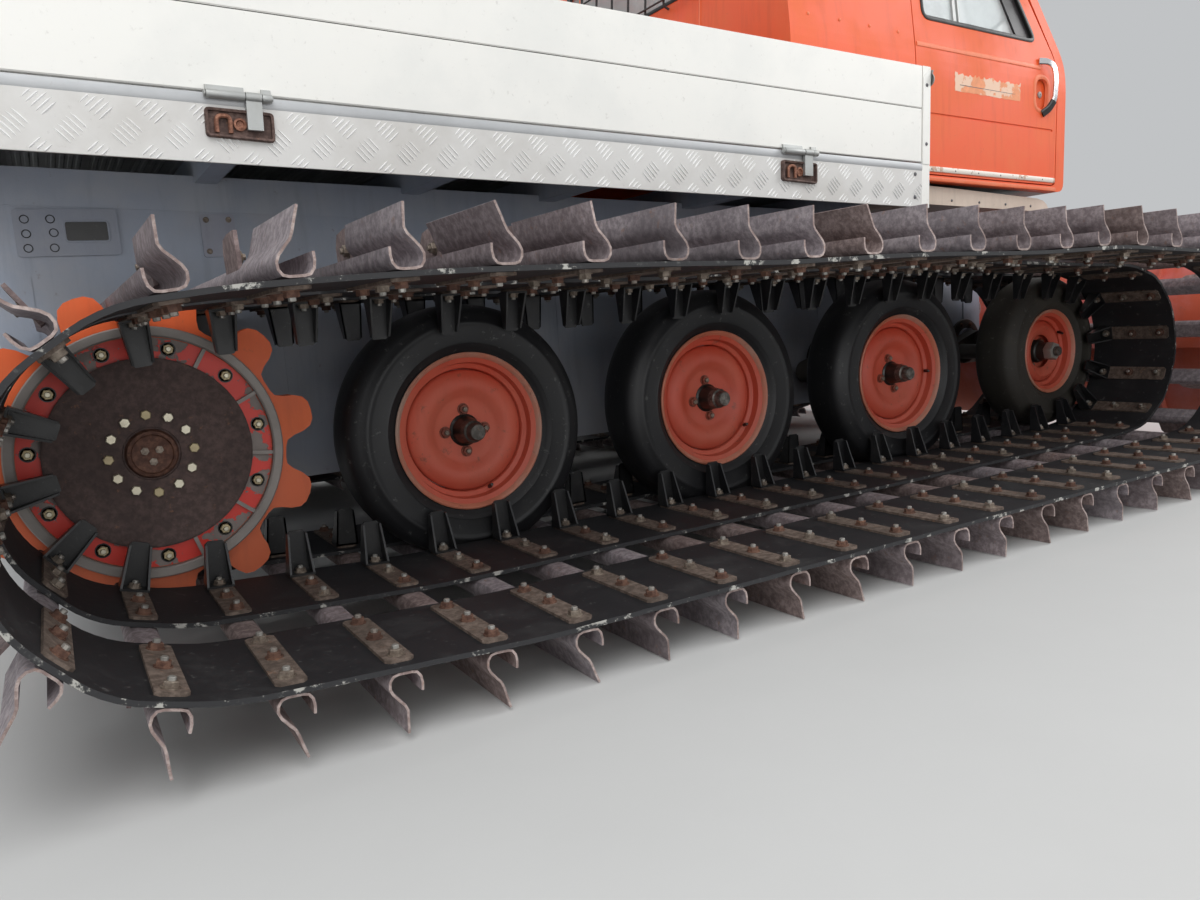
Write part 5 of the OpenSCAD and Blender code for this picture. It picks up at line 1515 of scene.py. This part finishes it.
def make_hull_fittings():
    """Plates, rails and bolts on the hull's sides, the axles' mounts, and towing eyes at the nose."""
    fittings = Piece("hull_fittings")
    for side in SIDES.values():
        put = on_side(side, HULL_HALF, ORIGIN_X)
        out = (0, side, 0)
        top = hull_top(-0.9)
        plate = rounded_rect(-1.018, -0.770, top - 0.132, top - 0.008, 0.010, 3)
        add_prism(fittings, plate, put, -0.001, 0.010, "bracket_grey")
        for x, z in ((-0.991, -0.034), (-0.931, -0.034), (-0.991, -0.072), (-0.927, -0.070),
                (-0.991, -0.110), (-0.930, -0.110)):
            add_turned(fittings, put(x, top + z, 0.0105), out,
                mm([(11.5, -1), (11.5, 1), (9, 1.2), (8.5, -4), (0, -4)]), "seal", 18)
        slot = rounded_rect(-0.900, -0.795, top - 0.094, top - 0.040, 0.008, 3)
        add_band(fittings, slot, mm([(-2, 9), (-2, 12), (3, 12), (3, 9)]), put, "bracket_grey")
        # A black sheet in the slot: painted shade of the opening.
        add_prism(fittings, slot, put, 0.0102, 0.0108, "seal")
        for x0, x1, depth in ((-0.556, -0.462, 0.122), (0.330, 0.560, 0.150), (1.150, 1.420, 0.150)):
            top = hull_top((x0 + x1) / 2) - 0.006
            panel = rounded_rect(x0, x1, top - depth, top, 0.008, 3)
            add_prism(fittings, panel, put, -0.001, 0.006, "hull_light")
            for x, z in ((x0 + 0.016, top - 0.016), (x1 - 0.016, top - 0.016),
                    (x0 + 0.016, top - depth + 0.016), (x1 - 0.016, top - depth + 0.016)):
                add_bolt(fittings, put(x, z, 0.006), out, 0.0065, "nut")
        for k in range(13):
            x = -1.00 + k * 0.32
            add_prism(fittings, rect(x - 0.004, x + 0.004, BELLY + 0.24, hull_top(x) - 0.19), put, -0.001,
                0.0025, "hull")
        for x, z, _, _ in WHEELS:
            spot = put(x + 0.150, z + 0.040, 0)
            add_turned(fittings, spot, out, mm([(105, -1), (105, 10), (100, 12), (62, 12)]), "dark", 40)
            for k in range(8):
                a = 2 * math.pi * (k + 0.5) / 8
                add_bolt(fittings, put(x + 0.150 + 0.084 * math.cos(a), z + 0.040 + 0.084 * math.sin(a),
                    0.012), out, 0.0085, "nut_rusty")
        eye = (ORIGIN_X + HULL_NOSE, side * 0.420, 0.640)
        add_box(fittings, (eye[0] - 0.001, eye[1] - 0.040, 0.590), (eye[0] + 0.010, eye[1] + 0.040, 0.690),
            "dark")
        bends = ((0.006, 0.034), (0.062, 0.034), (0.062, -0.034), (0.006, -0.034))
        bow = smooth_path([Vector(eye) + Vector((x, 0, z)) for x, z in bends], 0.032)
        add_sweep(fittings, bow, round_section(0.010, 12), LATERAL, "grip")
    fittings.make(bevel=0.001)
    arms = Piece("suspension_caps")
    for side in SIDES.values():
        for x, z, _, _ in WHEELS:
            face = HULL_HALF + 0.086
            for px, pz, r in ((x + 0.150, z + 0.040, 0.040), (x, z, 0.036)):
                cap = [(r, -0.001), (r, 0.006), (r * 0.8, 0.010), (r * 0.42, 0.010), (r * 0.42, 0.018),
                    (0, 0.018)]
                collar = [(r + 0.010, -0.001), (r + 0.010, 0.012), (r, 0.016), (r - 0.002, 0.010)]
                add_turned(arms, (ORIGIN_X + px, side * face, pz), (0, side, 0),
                    cap if r > 0.038 else collar, "dark", 32)
    arms.make()


def make_tail_fittings():
    """Rear lamps on the skirt, and the hitch's bolts and ribs."""
    lamps = Piece("rear_lamps")
    for side in SIDES.values():
        for y, width, look in ((0.900, 0.070, "red_lens"), (0.822, 0.060, "amber_lens"),
                (0.752, 0.060, "red_lens")):
            put = on_end(BED_REAR, -1, side)
            loop = rounded_rect(y - width / 2, y + width / 2, 0.030, 0.106, 0.010, 3)
            add_prism(lamps, loop, put, 0.001, 0.012, "plastic")
            add_prism(lamps, drawn_in(loop, 0.004), put, 0.012, 0.020, look)
            inner = drawn_in(loop, 0.010)
            add_prism(lamps, inner, put, 0.019, 0.023, look)
    lamps.make(on_body=True, bevel=0.0012)
    hitch = Piece("hitch_fittings")
    back = ORIGIN_X + HULL_TAIL - 0.020
    for y in (-0.320, -0.270, 0.270, 0.320):
        for z in (0.500, 0.615, 0.730):
            add_bolt(hitch, (back, y, z), (-1, 0, 0), 0.013, "nut_rusty")
    for y in (-0.200, 0.200):
        sign = 1 if y > 0 else -1
        rib = [(back + 0.001, 0.500), (back - 0.080, 0.560), (back - 0.080, 0.585), (back + 0.001, 0.585)]
        add_prism(hitch, rib, on_side(1), y - sign * 0.001, y - sign * 0.030, "dark")
    hitch.make(bevel=0.0015)


# Blade, measured from the first road wheel's axle
BLADE_HALF, BLADE_RADIUS, BLADE_SHEET = 1.880, 0.650, 0.012
BLADE_BACK, BLADE_TIP = 3.270, 3.560
BLADE_MID_Z, BLADE_LOW = 0.480, 0.060
ARM_HALF = 0.320


def blade_point(angle, radius):
    """A point of the blade's curve: angle up from level, in degrees."""
    a = math.radians(180 - angle)
    return (BLADE_BACK + BLADE_RADIUS + radius * math.cos(a), BLADE_MID_Z + radius * math.sin(a))


def make_blade():
    """Curved sheet with a folded top, a bolted wear edge, ribs and a spine behind, and framed end plates."""
    blade = Piece("blade_detailed", "blade_body")
    put = on_side(1, 0.0, ORIGIN_X)
    limit = math.degrees(math.asin((BLADE_MID_Z - BLADE_LOW) / BLADE_RADIUS))
    steps = 28
    angles = [limit - 2 * limit * k / steps for k in range(steps + 1)]
    back = [blade_point(a, BLADE_RADIUS - 0.0005) for a in angles]
    face = [blade_point(a, BLADE_RADIUS - BLADE_SHEET) for a in angles]
    add_prism(blade, back + face[::-1], put, -BLADE_HALF + 0.002, BLADE_HALF - 0.002, "blade_orange")
    top = face[0]
    fold = [(top[0] - 0.008, top[1] - 0.006), (top[0] + 0.030, top[1] - 0.004),
        (top[0] + 0.030, top[1] - 0.028), (top[0] + 0.023, top[1] - 0.028),
        (top[0] + 0.022, top[1] - 0.012), (top[0] - 0.008, top[1] - 0.014)]
    add_prism(blade, fold, put, -BLADE_HALF + 0.014, BLADE_HALF - 0.014, "blade_orange")
    low = [blade_point(a, BLADE_RADIUS - BLADE_SHEET) for a in (-limit, -limit + 5, -limit + 10)]
    front = [blade_point(a, BLADE_RADIUS - BLADE_SHEET - 0.012) for a in (-limit + 10, -limit + 5, -limit)]
    count = 4
    width = (2 * BLADE_HALF - 0.040) / count
    for k in range(count):
        y0 = -BLADE_HALF + 0.020 + k * width
        add_prism(blade, low + front, put, y0 + 0.002, y0 + width - 0.002, "wear_steel")
        for j in range(5):
            angle = -limit + 7.5
            x, z = blade_point(angle, BLADE_RADIUS - BLADE_SHEET - 0.012)
            a = math.radians(angle)
            add_bolt(blade, put(x, z, y0 + width * (j + 0.5) / 5), (math.cos(a), 0, -math.sin(a)), 0.011,
                "nut")
    spine = rect(BLADE_BACK - 0.030, BLADE_BACK + 0.012, BLADE_MID_Z - 0.060, BLADE_MID_Z + 0.030)
    add_prism(blade, spine, put, -BLADE_HALF + 0.200, BLADE_HALF - 0.200, "blade_orange")
    for y in (-1.500, -1.150, -0.800, -0.480, 0.480, 0.800, 1.150, 1.500):
        rib_angles = [limit - 4 - (2 * limit - 10) * k / 10 for k in range(11)]
        outer = [blade_point(a, BLADE_RADIUS - 0.001) for a in rib_angles]
        level = BLADE_BACK - 0.028
        back_edge = [(max(x - 0.040, level), z) for x, z in outer]
        add_prism(blade, back_edge + outer[::-1], put, y - 0.005, y + 0.005, "blade_orange")
    for s in (-1, 1):
        add_prism(blade, rect(BLADE_BACK - 0.039, BLADE_BACK + 0.006, 0.360, 0.520), put,
            s * (ARM_HALF - 0.040), s * (ARM_HALF + 0.040), "blade_orange")
        end = back + [(BLADE_TIP - 0.060, BLADE_LOW), (BLADE_TIP, BLADE_LOW + 0.080),
            (BLADE_TIP, BLADE_MID_Z), (back[0][0] + 0.030, back[0][1])]
        add_prism(blade, end, put, s * (BLADE_HALF - 0.012), s * BLADE_HALF, "blade_orange")
        corners = ((BLADE_TIP - 0.064, BLADE_LOW + 0.008), (BLADE_TIP - 0.007, BLADE_LOW + 0.084),
            (BLADE_TIP - 0.007, BLADE_MID_Z - 0.003), (back[0][0] + 0.032, back[0][1] - 0.007))
        edge = smooth_path([put(x, z, s * (BLADE_HALF - 0.006)) for x, z in corners], 0.02, 3)
        add_sweep(blade, edge, round_section(0.0060, 10), LATERAL, "blade_orange")
        shoe = [(BLADE_BACK + 0.190, BLADE_LOW), (BLADE_TIP - 0.066, BLADE_LOW),
            (BLADE_TIP - 0.020, BLADE_LOW + 0.058), (BLADE_TIP - 0.060, BLADE_LOW + 0.070),
            (BLADE_BACK + 0.190, BLADE_LOW + 0.070)]
        add_prism(blade, shoe, put, s * (BLADE_HALF - 0.024), s * (BLADE_HALF - 0.010), "wear_steel")
    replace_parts(blade.make(smooth_angle=30), "blade")


def make_carrier_fittings():
    """Bolts of the front carrier, and bolts on the blade's arms and back."""
    bolts = Piece("carrier_bolts")
    for s in (-1, 1):
        for y in (ARM_HALF - 0.060, ARM_HALF + 0.060):
            add_turned(bolts, (ORIGIN_X + 3.010, s * (y + (0.001 if y > ARM_HALF else -0.001)), 0.430),
                (0, s if y > ARM_HALF else -s, 0), mm([(30, -2), (30, 6), (26, 9), (10, 9), (10, 13),
                (0, 14)]), "nut_rusty", 28)
    bolts.make()
    caps = Piece("arm_bolts", "blade_body")
    for s in (-1, 1):
        for z in (0.384, 0.500):
            for y in (ARM_HALF - 0.020, ARM_HALF + 0.020):
                add_bolt(caps, (ORIGIN_X + BLADE_BACK - 0.041, s * y, z), (-1, 0, 0), 0.010, "nut_rusty")
    for y in (-0.250, -0.120, 0.120, 0.250):
        add_bolt(caps, (ORIGIN_X + BLADE_BACK - 0.110, y, 0.440), (-1, 0, 0), 0.011, "nut_rusty")
    caps.make()


# Cab interior
SEAT_Y = 0.420
SEAT_BASE = 0.132


def add_cushion(name, centre, size, tilt, channels):
    """A crowned cushion: its sides pull in between the corners, with sewn channels across its face."""
    across, length, thick = size
    n = 28
    edit = bmesh.new()
    grids = []
    for face in (1, -1):
        grid = []
        for i in range(n + 1):
            row = []
            for j in range(n + 1):
                u, v = -math.cos(math.pi * i / n), -math.cos(math.pi * j / n)
                edge = (1 - abs(u) ** 5) * (1 - abs(v) ** 5)
                swell = edge ** 0.42
                groove = sum(math.exp(-((v - c) / 0.035) ** 2) for c in channels)
                welt = math.exp(-((max(abs(u), abs(v)) - 0.86) / 0.03) ** 2)
                height = thick / 2 * swell * (1.0 + 0.12 * math.cos(u * 1.5) * math.cos(v * 1.5) - 0.12)
                if face > 0:
                    height -= 0.006 * groove * swell + 0.003 * welt
                pull = 0.035 * math.cos(v * math.pi / 2) ** 2, 0.035 * math.cos(u * math.pi / 2) ** 2
                x = u * across / 2 * (1 - pull[0] * abs(u) ** 3)
                y = v * length / 2 * (1 - pull[1] * abs(v) ** 3)
                row.append(edit.verts.new((x, y, face * height)))
            grid.append(row)
        grids.append(grid)
    for grid, face in zip(grids, (1, -1)):
        for i in range(n):
            for j in range(n):
                ring = (grid[i][j], grid[i + 1][j], grid[i + 1][j + 1], grid[i][j + 1])
                edit.faces.new(ring if face > 0 else ring[::-1])
    bmesh.ops.remove_doubles(edit, verts=edit.verts, dist=2e-4)
    bmesh.ops.recalc_face_normals(edit, faces=edit.faces)
    for face in edit.faces:
        face.smooth = True
    mesh = bpy.data.meshes.new(name)
    edit.to_mesh(mesh)
    edit.free()
    mesh.transform(BODY_MATRIX @ Matrix.Translation(centre) @ Matrix.Rotation(tilt, 4, "Y")
        @ Matrix.Rotation(math.pi / 2, 4, "Z"))
    mesh.materials.append(LOOKS["cloth"])
    obj = link_new(name, mesh)
    finer = obj.modifiers.new("finer", "SUBSURF")
    finer.levels = finer.render_levels = 1
    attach(obj, "vehicle")


def make_seats():
    """Two seats: a pressed base on a pedestal, a cushion, and a back shell with its own cushion."""
    shells = Piece("seat_shells")
    for side_name, side in SIDES.items():
        y = side * SEAT_Y
        add_prism(shells, [(1.740, SEAT_BASE), (2.060, SEAT_BASE), (2.020, SEAT_BASE + 0.190),
            (1.780, SEAT_BASE + 0.190)], on_side(1), y - 0.180, y + 0.180, "plastic")
        pan = mm([(1660, 352), (1700, 322), (2080, 322), (2134, 340), (2138, 372), (1660, 372)])
        add_prism(shells, pan, on_side(1), y - 0.236, y + 0.236, "plastic")
        lean = math.radians(-8)
        back_at = Matrix.Translation((1.640, y, 0.432)) @ Matrix.Rotation(lean, 4, "Y")
        shell = rounded_loop(mm([(-225, 10), (225, 10), (205, 545), (-205, 545)]), [0.05] * 4)
        add_prism(shells, shell, lambda v, z, h: back_at @ Vector((h, v, z)), 0.002, 0.030, "plastic")
        cushion_at = (1.900, y, 0.418)
        add_cushion("seat_cushion_" + side_name, cushion_at, (0.470, 0.455, 0.115), 0.0, (-0.45, 0.0, 0.45))
        middle = back_at @ Vector((0.068, 0, 0.262))
        add_cushion("seat_back_" + side_name, middle, (0.440, 0.500, 0.090), math.radians(82),
            (-0.5, -0.15, 0.2, 0.55))
    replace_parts(shells.make(on_body=True, bevel=0.004), "seats")


def make_controls():
    """Instrument panel with plain dials, lamps and switches, a steering wheel and two levers."""
    controls = Piece("controls")

    def panel(y, s, rise):
        """Place on the dashboard's top: lateral, share of its depth, height over it."""
        return Vector((2.480 + s * 0.28 - rise * 0.036, y, 0.690 - s * 0.010 + rise))

    hood = rounded_rect(0.200, 0.640, 0.10, 0.80, 0.04)
    add_prism(controls, hood, panel, -0.001, 0.020, "plastic")
    for y in (0.290, 0.420, 0.550):
        at = panel(y, 0.45, 0.020)
        add_turned(controls, at, UP, mm([(46, -1), (46, 8), (42, 11), (40, 6), (0, 6)]), "chrome", 36)
        add_turned(controls, at, UP, mm([(39.5, 6.2), (39.5, 7.2), (0, 7.2)]), "seal", 36)
        needle = [at + Vector((0, 0, 0.0078)), at + Vector((0.026, 0.012, 0.0078))]
        add_sweep(controls, needle, flat_section(0.003, 0.001), UP, "rail")
    for k in range(7):
        y = -0.620 + k * 0.09
        add_box(controls, tuple(panel(y - 0.014, 0.30, 0.0)), tuple(panel(y + 0.014, 0.42, 0.018)),
            "plastic")
        lens = "amber_lens" if k % 2 else "red_lens"
        add_turned(controls, panel(y, 0.62, -0.001), UP, mm([(9, 0), (9, 6), (0, 9)]), lens, 16)
    wheel_at = Vector((2.300, SEAT_Y, 0.640))
    lean = Matrix.Translation(wheel_at) @ Matrix.Rotation(math.radians(-28), 4, "Y")
    circle = round_section(0.190, 40)
    ring = [lean @ Vector((u, v, 0)) for u, v in circle + circle[:1]]
    axis = lean.to_3x3() @ Vector((0, 0, 1))
    add_sweep(controls, ring, round_section(0.0125, 12), tuple(axis), "seal")
    add_turned(controls, lean @ Vector((0, 0, -0.050)), tuple(axis),
        mm([(30, 0), (40, 20), (44, 46), (36, 58), (0, 62)]), "plastic", 32)
    for k in range(3):
        a = 2 * math.pi * k / 3 + 0.5
        ends = ((0.034, -0.010), (0.186, 0.0))
        spoke = [lean @ Vector((r * math.cos(a), r * math.sin(a), z)) for r, z in ends]
        add_sweep(controls, spoke, flat_section(0.026, 0.005), tuple(axis), "plastic")
    add_sweep(controls, [lean @ Vector((0, 0, -0.030)), Vector((2.470, SEAT_Y, 0.420))],
        round_section(0.026, 20), LATERAL, "plastic")
    box_loop = [(1.760, SEAT_BASE), (2.180, SEAT_BASE), (2.180, 0.400), (2.100, 0.470), (1.760, 0.470)]
    add_prism(controls, box_loop, on_side(1), -0.080, 0.100, "plastic")
    for x, y in ((2.060, -0.030), (2.060, 0.050), (1.960, 0.010)):
        base = Vector((x, y, 0.468))
        add_turned(controls, base, UP, mm([(24, 0), (22, 14), (12, 34), (0, 36)]), "seal", 20)
        add_sweep(controls, [base + Vector((0, 0, 0.020)), base + Vector((0.030, 0, 0.150))],
            round_section(0.006, 10), LATERAL, "chrome")
        add_turned(controls, base + Vector((0.030, 0, 0.142)), (0.2, 0, 1),
            mm([(8, 0), (17, 14), (20, 30), (14, 46), (0, 50)]), "seal", 20)
    controls.make(on_body=True, bevel=0.0015)


make_bed()
for side_name, side in SIDES.items():
    make_door_fittings(side_name, side)
make_cab_fittings()
make_mirrors()
make_side_covers()
make_engine_fittings()
make_exhaust()
make_hull_fittings()
make_tail_fittings()
make_blade()
make_carrier_fittings()
make_seats()
make_controls()

for look, node_names in NODE_LOOK.items():
    for node_name in node_names:
        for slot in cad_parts[node_name].material_slots:
            slot.material = LOOKS[look]

make_light("key", (-3.5, -6.0, 6.5), (0.3, -0.5, 0.6), 5.0, 285)
make_light("fill", (-1.6, -7.2, 0.9), (0.2, -0.6, 0.7), 4.0, 85)
make_light("front", (6.0, -3.5, 4.5), (0.8, -0.5, 0.8), 4.0, 220)
make_light("back", (0.0, 6.5, 5.0), UP, 5.0, 220)


def make_floor():
    bpy.ops.mesh.primitive_plane_add(size=60, location=(0, 0, 0))
    floor = bpy.context.object
    floor.name = "floor"
    sh, vector, _ = new_material("pale_floor", 0.8)
    colour = sh.mix(sh.noise(vector, 2.0), (0.60, 0.60, 0.59), (0.66, 0.66, 0.65))
    floor.data.materials.append(sh.finish(colour))


make_floor()
